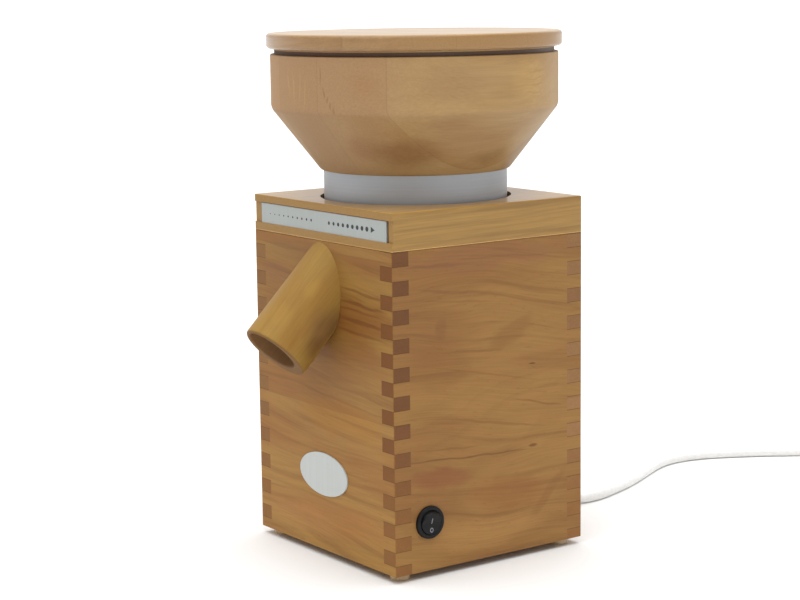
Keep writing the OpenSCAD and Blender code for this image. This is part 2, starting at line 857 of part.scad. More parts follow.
module rotor() {
    ring_h = 6;
    color("#7d8083") difference() {
        union() {
            translate([0, 0, stator_z]) cylinder(r = rotor_r, h = stator_h);
            translate([0, 0, stator_z - ring_h])
                cylinder(r = rotor_r - 3, h = stator_h + 2 * ring_h);
        }
        translate([0, 0, stator_z - ring_h - eps])
            cylinder(r = shaft_r + fit, h = stator_h + 2 * ring_h + 2 * eps);
        for (z = [stator_z - ring_h - eps, stator_top]) translate([0, 0, z])
            cylinder(r = 14, h = ring_h + eps);
    }
}

module cooling_fan() {
    color(plastic_black) translate([0, 0, fan_z]) difference() {
        union() {
            cylinder(r = 13, h = fan_h);
            translate([0, 0, fan_h - 2]) cylinder(r = fan_r, h = 2);
            for (i = [0 : fan_blades - 1]) rotate([0, 0, 360 * i / fan_blades])
                translate([11, -1, 0]) cube([fan_r - 12, 2, fan_h]);
        }
        translate([0, 0, -eps]) cylinder(r = shaft_r + fit, h = fan_h + 2 * eps);
    }
}

// ---------------------------------------------------------------- hopper

function arc(centre, r, from, to, steps) = [
    for (i = [0 : steps])
        let (a = from + (to - from) * i / steps) centre + r * [cos(a), sin(a)]
];

// Half section of the bowl: a cone with a rounded foot, a rounded crease and a stepped rim
module bowl_section() {
    slope = atan2(bowl_r - bowl_foot_r, cone_h);
    foot_centre = [bowl_foot_r - foot_round * tan(45 - slope / 2), foot_round];
    crease_centre = [bowl_r - crease_r, cone_h + crease_r * tan(slope / 2)];
    rim = cone_h + wall_h;
    edge = 0.8;
    inner_r = bowl_r - bowl_wall;
    inner_crease_z = cone_h + 1.5;
    polygon(concat(
        [[throat_r, 0]],
        arc(foot_centre, foot_round, -90, -slope, 5),
        arc(crease_centre, crease_r, -slope, 0, 6),
        arc([bowl_r - edge, rim - edge], edge, 0, 90, 3),
        [
            [bowl_r - rim_step_in, rim], [bowl_r - rim_step_in, rim + rim_step_h],
            [inner_r, rim + rim_step_h], [inner_r, inner_crease_z], [throat_r, throat_l]
        ]
    ));
}

module turned_bowl() {
    difference() {
        translate([0, 0, hopper_z]) rotate_extrude($fn = 180) bowl_section();
        collar_screw_places() cylinder(r = collar_screw_r + fit, h = collar_screw_grip + 1.5);
    }
}

// Where the blocks of the bowl are glued: faces 1 to 4 between them, 0 and 5 outside the bowl
function glue_x(i) = i == 0 ? -bowl_r - eps : i == 5 ? bowl_r + eps : 25 + (i - 3) * bowl_block_w;

// One of the five blocks that make up the bowl, from the left
module bowl_block(i) {
    color(cherry) intersection() {
        turned_bowl();
        translate([glue_x(i - 1), -bowl_r - eps, hopper_z - eps])
            cube([glue_x(i) - glue_x(i - 1), 2 * (bowl_r + eps), lid_z - hopper_z + 2 * eps]);
    }
}

module collar_screw_places() {
    for (a = [0 : 90 : 270]) rotate([0, 0, a + 20])
        translate([thread_r - 2 * collar_wall, 0, hopper_z]) children();
}

module collar() {
    color("#b8bbbd") difference() {
        union() {
            translate([0, 0, collar_z]) cylinder(r = thread_r, h = hopper_z - collar_z);
            translate([0, 0, case_top - collar_skirt])
                cylinder(r = collar_r, h = hopper_z - case_top + collar_skirt);
        }
        translate([0, 0, collar_z - eps])
            cylinder(r = thread_r - collar_wall, h = hopper_z - collar_z - 2 * lip_t + eps);
        translate([0, 0, hopper_z - 3 * lip_t]) cylinder(r = throat_r + 8, h = 3 * lip_t + eps);
        translate([0, 0, hopper_z - lip_t]) cylinder(r = throat_r + 13, h = lip_t + eps);
        collar_screw_places() translate([0, 0, -3 * lip_t])
            cylinder(r = collar_screw_r + fit, h = 4 * lip_t);
        setting_mark_place() translate([collar_r - mark_depth, -mark_w / 2, 0])
            cube([mark_depth + eps, mark_w, mark_h]);
    }
}

module collar_screws() {
    color(steel) collar_screw_places() {
        translate([0, 0, -3 * lip_t]) cylinder(r = 2 * collar_screw_r, h = lip_t);
        translate([0, 0, -2 * lip_t - 0.5])
            cylinder(r = collar_screw_r, h = 2 * lip_t + 0.5 + collar_screw_grip);
    }
}

module setting_mark_place() {
    rotate([0, 0, 47]) translate([0, 0, hopper_z - 14]) children();
}

module setting_mark() {
    color(plastic_black) setting_mark_place()
        translate([collar_r - mark_depth, fit - mark_w / 2, fit])
            cube([mark_depth - fit, mark_w - 2 * fit, mark_h - 2 * fit]);
}

module feed_funnel() {
    wall = 2;
    tube_r = eye_r + 0.5;
    flange_r = throat_r + 13 - slip;
    color(plastic_white) translate([0, 0, hopper_z]) rotate_extrude() polygon([
        [throat_r, 0], [flange_r, 0], [flange_r, -lip_t],
        [throat_r + wall, -lip_t], [tube_r + wall, upper_top_z + 10 - hopper_z],
        [tube_r + wall, upper_top_z + 3.9 - hopper_z], [tube_r, upper_top_z + 3.9 - hopper_z],
        [tube_r, upper_top_z + 10.7 - hopper_z]
    ]);
}

module lid() {
    plug_r2 = bowl_r - bowl_wall - 0.5;
    color(cherry) translate([0, 0, lid_z]) rotate_extrude($fn = 180) {
        translate([0, lid_round]) square([lid_r, lid_t - 2 * lid_round]);
        square([lid_r - lid_round, lid_t]);
        for (z = [lid_round, lid_t - lid_round])
            translate([lid_r - lid_round, z]) circle(r = lid_round, $fn = 48);
        translate([0, -lid_plug_h]) square([plug_r2 - 1, lid_plug_h + 1]);
        translate([0, 1 - lid_plug_h]) square([plug_r2, lid_plug_h]);
    }
}

// ---------------------------------------------------------------- electrics

module switch_housing() {
    face_x = case_w / 2;
    color(plastic_black) difference() {
        translate([0, switch_y, switch_z]) rotate([0, 90, 0]) union() {
            translate([0, 0, face_x - switch_body_l])
                cylinder(r = switch_body_r, h = switch_body_l + eps);
            translate([0, 0, face_x]) rotate_extrude() {
                square([bezel_r, bezel_t - bezel_round]);
                square([bezel_r - bezel_round, bezel_t]);
                translate([bezel_r - bezel_round, bezel_t - bezel_round])
                    circle(r = bezel_round, $fn = 48);
            }
        }
        translate([pivot_x - rocker_r - slip, switch_y, switch_z]) rotate([0, 90, 0])
            cylinder(r = rocker_r + slip, h = 3 * rocker_r);
        translate([pivot_x, switch_y, switch_z]) rotate([90, 0, 0])
            cylinder(r = pivot_r + 2 * fit, h = 2 * pivot_reach + 2 * fit, center = true);
    }
}

module switch_terminals() {
    color("#c8b070") for (z = [-6, 0, 6])
        translate([case_w / 2 - switch_body_l - terminal_l, switch_y - 3, switch_z + z - 0.4])
            cube([terminal_l, 6, 0.8]);
}

// A round barrel on two pivots, so that it stays clear of its hole as it tilts, with a shallow
// valley across its face
module rocker() {
    lean = rocker_swing / 2;
    depth = 4.5;
    half = rocker_r + 1;
    rise = half * tan(lean);
    color(plastic_black) translate([pivot_x, switch_y, switch_z]) rotate([0, lean, 0]) {
        difference() {
            rotate([0, 90, 0]) rotate_extrude() intersection() {
                circle(r = rocker_r);
                translate([0, -depth]) square([rocker_r, depth + rocker_face + rise]);
            }
            rotate([90, 0, 0]) linear_extrude(2 * half, center = true) polygon([
                [rocker_face, 0], [rocker_face + rise, half], [2 * rocker_r, half],
                [2 * rocker_r, -half], [rocker_face + rise, -half]
            ]);
        }
        rotate([90, 0, 0]) cylinder(r = pivot_r, h = 2 * pivot_reach, center = true);
    }
}

module cord_gland() {
    rib_count = 5;
    boot_r = gland_r;
    tip_r = cord_r + 1.2;
    rib_l = boot_l / rib_count;
    color(plastic_white) translate([0, 0, gland_z]) rotate([-90, 0, 0]) {
        translate([0, 0, inner_d / 2 - 4]) cylinder(r = gland_nut_r, h = 4);
        translate([0, 0, inner_d / 2 - 1]) cylinder(r = gland_r, h = board_t + 2);
        translate([0, 0, case_d / 2]) cylinder(r = gland_flange_r, h = gland_flange_t);
        translate([0, 0, case_d / 2 + gland_flange_t]) {
            cylinder(r1 = boot_r - 0.8, r2 = tip_r - 0.8, h = boot_l);
            for (i = [0 : rib_count - 1]) translate([0, 0, i * rib_l])
                cylinder(r = boot_r + (tip_r - boot_r) * i / (rib_count - 1), h = 0.6 * rib_l);
        }
    }
}

module power_cord() {
    color(plastic_white) swept_tube(cord_route, cord_r, 10);
}

module cord_coil() {
    color(plastic_white) translate([coil_centre.x, coil_centre.y, 0]) rotate_extrude()
        translate([coil_r, coil_rows * cord_r])
            round_rect(coil_w, 2 * coil_rows * cord_r, cord_r);
}

module cord_tail() {
    color(plastic_white) swept_tube(tail_route, cord_r, 10);
}

module plug() {
    turn = atan2(plug_dir.y, plug_dir.x);
    color(plastic_white) translate(plug_at) rotate([0, 0, turn]) rotate([0, 90, 0]) {
        cylinder(r1 = plug_neck_r, r2 = plug_neck_r + 3, h = plug_boot_l);
        translate([0, 0, plug_boot_l]) cylinder(r1 = 13, r2 = plug_r, h = 8);
        translate([0, 0, plug_boot_l + 8]) cylinder(r = plug_r, h = plug_l - 8);
        for (y = [-1, 1]) translate([0, y * pin_spacing / 2, plug_boot_l + plug_l - eps])
            cylinder(r = pin_r, h = pin_l + eps);
    }
}

module capacitor() {
    color("#c9cdd0") translate([capacitor_x, capacitor_y, capacitor_z]) rotate([90, 0, 0]) {
        cylinder(r = capacitor_r, h = capacitor_l, center = true);
        for (x = [-4, 4]) translate([x, 0, -capacitor_l / 2 - 6]) cylinder(r = 1.2, h = 7);
    }
}

module capacitor_clip() {
    color(steel) translate([capacitor_x, capacitor_y, 0]) difference() {
        union() {
            translate([0, 6, capacitor_z]) rotate([90, 0, 0])
                cylinder(r = capacitor_r + fit + clip_t, h = 12);
            translate([-8, -6, base_top]) cube([16, 12, capacitor_z - base_top]);
        }
        translate([0, 10, capacitor_z]) rotate([90, 0, 0])
            cylinder(r = capacitor_r + fit, h = 20);
    }
}

module terminal_block() {
    color(plastic_white) difference() {
        translate([-block_l / 2, terminal_y - terminal_d / 2, base_top])
            cube([block_l, terminal_d, terminal_h]);
        for (x = [-12, 0, 12]) translate([x, terminal_y, base_top + terminal_h - 6])
            cylinder(r = 2.2, h = 6 + eps);
    }
}

// A wire's line between two terminals: a straight stub at each end and a smooth way between them
function wire_line(p) = concat(
    [p[0]], smooth([for (i = [1 : len(p) - 2]) p[i]], 4), [p[len(p) - 1]]
);

module wiring() {
    r = 1.3;
    z = base_top + 7;
    back = terminal_y + terminal_d / 2;
    front = terminal_y - terminal_d / 2;
    switch_end = case_w / 2 - switch_body_l - terminal_l;
    feeds = [for (i = [-1 : 1]) [
        [i * 3.5, inner_d / 2 - 4, gland_z], [i * 3.5, inner_d / 2 - 7, gland_z],
        [i * 9, back + 6, z + 1], [i * 12, back + 3, z], [i * 12, back, z]
    ]];
    to_switch = [for (i = [0 : 1]) [
        [12 - 12 * i, front, z], [12 - 12 * i, front - 5, z], [30 - 6 * i, 5, z - 3],
        [48 - 6 * i, -30, z], [switch_end - 8, switch_y + 2, switch_z - 2 + 6 * i],
        [switch_end - 3, switch_y, switch_z + 6 * i], [switch_end, switch_y, switch_z + 6 * i]
    ]];
    to_motor = [
        [block_l / 2, terminal_y, z], [block_l / 2 + 5, terminal_y, z],
        [block_l / 2 + 20, 30, z + 2], [tie_xy + 3, 16, z + 14],
        [tie_xy + 3, 12, shield_bottom - 8], [tie_xy + 3, 12, shield_bottom]
    ];
    to_capacitor = [for (x = [-4, 4]) [
        [-block_l / 2, terminal_y + x, z], [-block_l / 2 - 5, terminal_y + x, z],
        [-42, terminal_y + x + 3, z + 1], [capacitor_x - x / 2, terminal_y + x + 2, capacitor_z - 2],
        [capacitor_x - x, capacitor_y + capacitor_l / 2 + 9, capacitor_z],
        [capacitor_x - x, capacitor_y + capacitor_l / 2 + 6, capacitor_z]
    ]];
    for (path = feeds) color("#3b5fa0") swept_tube(wire_line(path), r, 6, [1, 0, 0]);
    for (path = to_switch) color("#6b4a2c") swept_tube(wire_line(path), r, 6, [1, 0, 0]);
    for (path = concat([to_motor], to_capacitor))
        color("#3b5fa0") swept_tube(wire_line(path), r, 6, [0, 0, 1]);
}

// ---------------------------------------------------------------- assembly

at_mill() front_panel();
at_mill() rear_panel();
at_mill() left_panel();
at_mill() right_panel();
at_mill() top_cover();
at_mill() base_plate();
at_mill() corner_blocks();
at_mill() base_screws();
at_mill() feet();
at_mill() scale_strip();
at_mill() badge();
at_mill() spout();
at_mill() grinding_chamber();
at_mill() chamber_screws();
at_mill() shaft_seal();
at_mill() tie_bolts();
at_mill() hanger_sleeves();
at_mill() stator();
at_mill() windings();
at_mill() upper_end_shield();
at_mill() lower_end_shield();
at_mill() bearings();
at_mill() capacitor();
at_mill() capacitor_clip();
at_mill() terminal_block();
at_mill() wiring();
at_mill() switch_housing();
at_mill() switch_terminals();
at_mill() cord_gland();
at_mill() power_cord();
at_mill() cord_coil();
at_mill() cord_tail();
at_mill() plug();
at_mill() lift_springs();
at_mill() upper_stone();
at_mill() stone_carrier();
at_mill() guide_keys();
at_mill() bowl_block(1);  // bowl_block_1
at_mill() bowl_block(2);  // bowl_block_2
at_mill() bowl_block(3);  // bowl_block_3
at_mill() bowl_block(4);  // bowl_block_4
at_mill() bowl_block(5);  // bowl_block_5
at_mill() collar();
at_mill() collar_screws();
at_mill() setting_mark();
at_mill() feed_funnel();
at_mill() lid();
at_mill() motor_shaft();
at_mill() rotor();
at_mill() cooling_fan();
at_mill() runner_hub();
at_mill() lower_stone();
at_mill() hub_screw();
at_mill() flour_sweeper();
at_mill() rocker();
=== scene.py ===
import math
from functools import partial

import bmesh
import bpy
from mathutils import Euler, Matrix, Vector
from mathutils.bvhtree import BVHTree


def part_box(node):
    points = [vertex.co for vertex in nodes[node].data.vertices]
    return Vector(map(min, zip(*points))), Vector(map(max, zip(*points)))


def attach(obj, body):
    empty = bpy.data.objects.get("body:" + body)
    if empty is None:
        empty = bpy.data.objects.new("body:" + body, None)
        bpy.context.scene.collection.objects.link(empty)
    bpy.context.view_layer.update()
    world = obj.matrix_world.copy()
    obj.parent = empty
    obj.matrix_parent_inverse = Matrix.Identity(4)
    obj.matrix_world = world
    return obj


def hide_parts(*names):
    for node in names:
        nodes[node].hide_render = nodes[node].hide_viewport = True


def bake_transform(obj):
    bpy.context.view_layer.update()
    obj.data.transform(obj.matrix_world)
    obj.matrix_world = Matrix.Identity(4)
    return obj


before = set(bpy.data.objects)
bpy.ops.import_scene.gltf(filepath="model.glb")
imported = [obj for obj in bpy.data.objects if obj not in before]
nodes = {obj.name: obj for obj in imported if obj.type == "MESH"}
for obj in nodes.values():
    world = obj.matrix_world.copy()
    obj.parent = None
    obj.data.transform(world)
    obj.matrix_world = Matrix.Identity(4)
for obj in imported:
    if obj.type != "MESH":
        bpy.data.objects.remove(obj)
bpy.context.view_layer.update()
mm = 0.001
mixA, mixB, mixColour = 6, 7, 2  # a Mix node's colour sockets
shaftLow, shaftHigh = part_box("motor_shaft")
millY = (shaftLow.y + shaftHigh.y) / 2
print("frame loaded:", len(nodes), "nodes")


def toLinear(hexText):
    channels = [int(hexText[i:i + 2], 16) / 255 for i in (1, 3, 5)]
    return tuple(c / 12.92 if c <= 0.04045 else ((c + 0.055) / 1.055) ** 2.4 for c in channels) + (1.0,)


def addNode(tree, kind, sockets=(), **settings):
    # sockets: values in order, or by name; a node among them gives its first output
    node = tree.nodes.new(kind)
    for name, value in settings.items():
        setattr(node, name, value)
    for key, value in sockets.items() if isinstance(sockets, dict) else enumerate(sockets):
        if isinstance(value, bpy.types.Node):
            value = value.outputs[0]
        if isinstance(value, bpy.types.NodeSocket):
            tree.links.new(value, node.inputs[key])
        else:
            node.inputs[key].default_value = value
    return node


def atMill(x, y, z):
    # millimetres about the mill's own axis, to metres in the frame
    return Vector((x * mm, y * mm + millY, z * mm))


def linkObject(name, data):
    piece = bpy.data.objects.new(name, data)
    bpy.context.scene.collection.objects.link(piece)
    return piece


# The camera stands to the front right, a little above the case
cameraSpec = {
    "place": (1.16593, -0.83747, 0.41351),
    "turn": 54.231,
    "tilt": 9.11,
    "roll": -0.739,
    "lens": 88.97,
    "sensor": 36,
    "reach": (0.05, 200),
}


def makeCamera(spec):
    camera = bpy.data.cameras.new("camera")
    camera.lens = spec["lens"]
    camera.sensor_width = spec["sensor"]
    camera.clip_start, camera.clip_end = spec["reach"]
    stand = linkObject("camera", camera)
    look = Euler((math.radians(90 - spec["tilt"]), 0, math.radians(spec["turn"]))).to_matrix()
    look = look @ Matrix.Rotation(math.radians(spec["roll"]), 3, "Z")
    stand.matrix_world = Matrix.Translation(spec["place"]) @ look.to_4x4()
    bpy.context.scene.camera = stand


makeCamera(cameraSpec)

# A 7 mm mains lead: out of the strain relief, down to the floor, away to the right, then a coil
# of two layers that ends in the plug. Millimetres about the mill's axis.
leadSpec = {
    "radius": 3.5,
    "length": 1.6,  # metres
    "stepsPerSpan": 4,
    "roundness": 5,
    "route": [
        (0, 109, 22.5), (0, 115, 22.4), (0, 122, 20.9), (0, 129, 18), (1, 136, 14.2),
        (1, 143, 10.4), (2, 150, 7), (2, 157, 4.7), (2.1, 164.9, 3.6), (2.1, 172.1, 3.5),
        (1, 180.5, 3.5), (-1.8, 190.7, 3.5), (-5.2, 201.2, 3.5), (-8.8, 211.6, 3.5), (-13, 222.5, 3.5),
        (-18.9, 235.5, 3.5), (-26, 249.6, 3.5), (-34, 265.3, 3.5), (-41.8, 281, 3.5), (-47.5, 296.9, 3.5),
        (-49.5, 313.5, 3.5), (-47.5, 330.3, 3.5), (-42.3, 346.4, 3.5), (-34.6, 361.6, 3.5),
        (-25.9, 376.9, 3.5), (-16.7, 391.6, 3.5), (-6.7, 405.7, 3.5), (3.2, 419.7, 3.5),
        (14.2, 436.3, 3.5), (25, 453, 3.5),
    ],
    "coilCentre": (63, 426),
    "coilInner": 30.75,
    "flatTurns": 2.25,
    "climbTurns": 0.5,
    "pointsPerTurn": 48,
    "tail": [
        (25, 453, 10.5), (29, 458.6, 10.9), (33, 464.2, 12.3), (37, 469.8, 14.6),
        (41, 475.4, 16.8), (45, 481, 17.9), (49, 486.6, 18), (52, 490.8, 18),
    ],
}


def smoothLine(points, steps):
    # the points of a curve that passes evenly through the given ones
    knots = [Vector(p) for p in points]
    made = []
    for i in range(len(knots) - 1):
        a, b = knots[max(i - 1, 0)], knots[i]
        c, d = knots[i + 1], knots[min(i + 2, len(knots) - 1)]
        for k in range(steps):
            t = k / steps
            made.append(0.5 * (2 * b + (c - a) * t + (2 * a - 5 * b + 4 * c - d) * t * t
                               + (3 * b - a - 3 * c + d) * t * t * t))
    return made + [knots[-1]]


def coilLine(spec, start, end):
    centre = Vector(spec["coilCentre"])
    outer = (start.xy - centre).length
    firstAngle = math.atan2(start.y - centre.y, start.x - centre.x)
    flat, climb = spec["flatTurns"], spec["climbTurns"]
    turns = 2 * flat + climb
    count = round(turns * spec["pointsPerTurn"])
    made = []
    for i in range(1, count):
        t = turns * i / count
        lift = min(max((t - flat) / climb, 0), 1)
        spread = max(1 - t / flat, 0) + max((t - flat - climb) / flat, 0)
        r = spec["coilInner"] + (outer - spec["coilInner"]) * spread
        z = start.z + (end.z - start.z) * (3 - 2 * lift) * lift * lift
        angle = firstAngle - 2 * math.pi * t
        made.append(Vector((centre.x + r * math.cos(angle), centre.y + r * math.sin(angle), z)))
    return made


def makeLead(spec):
    lead = smoothLine(spec["route"], spec["stepsPerSpan"])
    tail = smoothLine(spec["tail"], spec["stepsPerSpan"])
    points = [atMill(*p) for p in lead + coilLine(spec, lead[-1], tail[0]) + tail]
    curve = bpy.data.curves.new("mains_lead", "CURVE")
    curve.dimensions = "3D"
    curve.bevel_depth = 1.0  # the knots carry the real radius
    curve.bevel_resolution = spec["roundness"]
    curve.use_fill_caps = True
    spline = curve.splines.new("POLY")
    spline.points.add(len(points) - 1)
    for knot, place in zip(spline.points, points):
        knot.co = (*place, 1)
        knot.radius = spec["radius"] * mm
    spline.use_smooth = True
    return linkObject("mains_lead", curve)


lead = makeLead(leadSpec)
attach(lead, "housing")
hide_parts("power_cord", "cord_coil", "cord_tail")
print("lead made")


def latheMesh(name, outline, segments, squeeze=None):
    # outline: (radius, height) pairs in millimetres, from the bottom centre round to the top centre
    mesh = bpy.data.meshes.new(name)
    work = bmesh.new()
    rings = []
    for r, z in outline:
        if r < 1e-6:
            rings.append([work.verts.new((0, 0, z * mm))])
            continue
        ring = []
        for k in range(segments):
            a = 2 * math.pi * k / segments
            grip = squeeze(a, z) if squeeze else 0
            out = (r - grip) * mm
            ring.append(work.verts.new((out * math.cos(a), out * math.sin(a), z * mm)))
        rings.append(ring)
    for low, high in zip(rings, rings[1:]):
        for k in range(segments):
            n = (k + 1) % segments
            corners = [low[k % len(low)], low[n % len(low)], high[n % len(high)], high[k % len(high)]]
            kept = [v for i, v in enumerate(corners) if v not in corners[:i]]
            if len(kept) > 2:
                work.faces.new(kept)
    bmesh.ops.recalc_face_normals(work, faces=work.faces)
    for face in work.faces:
        face.smooth = True
    work.to_mesh(mesh)
    work.free()
    return mesh


def placeMesh(mesh, matrix):
    mesh.transform(matrix)
    return mesh


def joinMeshes(name, meshes):
    work = bmesh.new()
    for mesh in meshes:
        work.from_mesh(mesh)
    joined = bpy.data.meshes.new(name)
    work.to_mesh(joined)
    work.free()
    return joined


def sharpenEdges(piece, degrees):
    for face in piece.data.polygons:
        face.use_smooth = True
    piece.data.set_sharp_from_angle(angle=math.radians(degrees))


# The moulded plug: a ribbed boot, a round body with two finger grips, and two pins
plugSpec = {
    "place": (52, 490.8, 18),
    "heading": (4, 5.6, 0),
    "bootRadius": 5.5,
    "bootEnd": 8.2,
    "bootLength": 20,
    "bootRibs": 5,
    "bootTip": 4.2,
    "rib": [(-0.9, 0.1), (0, 0.5), (0, 2.48), (-0.9, 2.88)],  # from the rib's own radius and foot
    "shoulder": [(9, -0.2), (11.5, 1), (14, 3.2), (16, 6), (17.2, 9)],  # radius, height over the boot
    "shoulderHeight": 12,
    "bodyRadius": 17.8,
    "bodyLength": 34,
    "bodySides": 72,
    "bodyEdge": [(0, -6), (0, -1.2), (-0.4, -0.4), (-1.2, 0)],  # from the body's radius and face
    "gripAt": 15,
    "gripHalf": 9,
    "gripDepth": 1.6,
    "pinRadius": 2.4,
    "pinLength": 19,
    "pinSunk": 1,
    "pinEdge": [(0, -1.4), (-0.4, -0.5), (-1.2, 0)],  # from the pin's radius and tip
    "pinSpacing": 19,
    "pinSides": 24,
    "sharpFrom": 40,  # degrees
}


def makePlug(spec):
    outline = [(0, 0), (spec["bootTip"], 0)]
    step = spec["bootLength"] / spec["bootRibs"]
    for i in range(spec["bootRibs"]):
        r = spec["bootRadius"] + (spec["bootEnd"] - spec["bootRadius"]) * i / (spec["bootRibs"] - 1)
        outline += [(r + out, i * step + up) for out, up in spec["rib"]]
    top = spec["bootLength"]
    face = top + spec["bodyLength"]
    big = spec["bodyRadius"]
    outline += [(r, top + z) for r, z in spec["shoulder"]] + [(big, top + spec["shoulderHeight"])]
    outline += [(big + out, face + up) for out, up in spec["bodyEdge"]] + [(0, face)]

    def grip(angle, z):
        along = max(0, 1 - ((z - top - spec["gripAt"]) / spec["gripHalf"]) ** 2)
        return spec["gripDepth"] * along * max(0, math.cos(2 * angle)) ** 2 if z > top else 0

    body = latheMesh("plugBody", outline, spec["bodySides"], grip)
    pins = []
    pinR, pinL = spec["pinRadius"], spec["pinLength"]
    for side in (-1, 1):
        outline = [(0, -spec["pinSunk"]), (pinR, -spec["pinSunk"])]
        outline += [(pinR + out, pinL + up) for out, up in spec["pinEdge"]] + [(0, pinL)]
        pin = latheMesh("plugPin", outline, spec["pinSides"])
        pins.append(placeMesh(pin, Matrix.Translation((0, side * spec["pinSpacing"] / 2 * mm, face * mm))))
    heading = Vector(spec["heading"]).normalized()
    sideways = Vector((0, 0, 1)).cross(heading)
    turn = Matrix((sideways.cross(heading), sideways, heading)).transposed().to_4x4()
    stand = Matrix.Translation(atMill(*spec["place"])) @ turn
    plug = linkObject("mains_plug", placeMesh(body, stand))
    sharpenEdges(plug, spec["sharpFrom"])
    prongs = linkObject("plug_pins", placeMesh(joinMeshes("plug_pins", pins), stand))
    return plug, prongs


plug, prongs = makePlug(plugSpec)
for piece in (plug, prongs):
    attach(piece, "housing")
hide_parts("plug")
print("plug made")


# Room: a white floor that runs far back, a wide soft light overhead and a bright wall behind
roomSpec = {
    "floorRadius": 60,
    "floorSides": 64,
    "floorColour": "#f4f4f3",
    "floorRough": 0.9,
    "sunStrength": 2.6,
    "sunSpread": 75,
    "sunTilt": (9, 6),
    "frontSky": 0.45,
    "backSky": 1.0,
    "skyFrom": -0.25,  # the cosines between which the sky goes from its front to its back strength
    "skyTo": 0.55,
}


def makeRoom(spec):
    scene = bpy.context.scene
    scene.view_settings.view_transform = "Standard"
    scene.view_settings.look = "None"
    work = bmesh.new()
    bmesh.ops.create_circle(work, cap_ends=True, segments=spec["floorSides"], radius=spec["floorRadius"])
    mesh = bpy.data.meshes.new("floor")
    work.to_mesh(mesh)
    work.free()
    floor = linkObject("floor", mesh)
    paper = bpy.data.materials.new("white backdrop paper")
    paper.use_nodes = True
    shader = paper.node_tree.nodes["Principled BSDF"]
    shader.inputs["Base Color"].default_value = toLinear(spec["floorColour"])
    shader.inputs["Roughness"].default_value = spec["floorRough"]
    shader.inputs["Specular IOR Level"].default_value = 0.0
    floor.data.materials.append(paper)

    sun = bpy.data.lights.new("overhead", "SUN")
    sun.energy = spec["sunStrength"]
    sun.angle = math.radians(spec["sunSpread"])
    lamp = linkObject("overhead", sun)
    lamp.rotation_euler = [math.radians(a) for a in (*spec["sunTilt"], 0)]

    world = bpy.data.worlds.new("studio")
    scene.world = world
    world.use_nodes = True
    tree = world.node_tree
    tree.nodes.clear()
    turn = math.radians(cameraSpec["turn"])
    away = (-math.sin(turn), math.cos(turn), 0)
    place = addNode(tree, "ShaderNodeTexCoord").outputs["Generated"]
    facing = addNode(tree, "ShaderNodeVectorMath", (place, away), operation="DOT_PRODUCT").outputs["Value"]
    back = addNode(tree, "ShaderNodeMapRange", (
        facing, spec["skyFrom"], spec["skyTo"], spec["frontSky"], spec["backSky"]),
        interpolation_type="SMOOTHSTEP")
    sky = addNode(tree, "ShaderNodeBackground", {"Color": (1, 1, 1, 1), "Strength": back})
    plain = addNode(tree, "ShaderNodeBackground", {"Color": (1, 1, 1, 1), "Strength": 1.0})
    seen = addNode(tree, "ShaderNodeLightPath").outputs["Is Camera Ray"]
    mixed = addNode(tree, "ShaderNodeMixShader", (seen, sky, plain))
    addNode(tree, "ShaderNodeOutputWorld", {"Surface": mixed})


makeRoom(roomSpec)
print("room made")

# The figure's own inputs, and the value of a wood that each of them takes
figureInputs = {"Board Width": "boardWidth", "Board Shift": "boardShift", "Ring Gap": "ringGap",
                "Pith Depth": "pithDepth", "Wander": "wander", "Seed": "seed", "Slope": "slope"}

# How the figure is drawn, for every wood. The scales are cycles a metre along, across and through, and the
# noise's detail and roughness follow them. A band is about 40 mm wide and a streak 7 mm. Real fibres are
# 0.1 mm apart and pores finer still, which wouldn't show, so both are drawn about 1 mm apart.
figureSpec = {
    "waves": (7, 16, 16),  # the slow rise and fall of the grain
    "bends": ((9, 22, 22), 2.0),  # what bends the growth rings
    "bands": ((7, 26, 26), 2.0),
    "streaks": ((6, 150, 150), 3.0, 0.62),
    "fibre": ((28, 850, 850), 3.0, 0.6),
    "flecks": ((130, 1000, 1000), 1.0),
    "fleckRange": (0.66, 0.74),
    "waveShare": 1.5,
    "boardStep": 37.0,  # keeps the noise of two boards apart
    "seamRange": (0.0001, 0.0005),
    "pithAcross": (1.6, -0.3),  # chance times the first, and the second: in board widths
    "pithDepth": (0.9, 0.4),
    "pithSkew": (0.16, -0.08),
    "ringPace": 0.45,
    "ringUneven": 1.6,
    "ringDark": (0.3, 0.9),
    "ringEnd": (0.9, 1.0),
    "ringStrength": (0.7, 0.3),
}


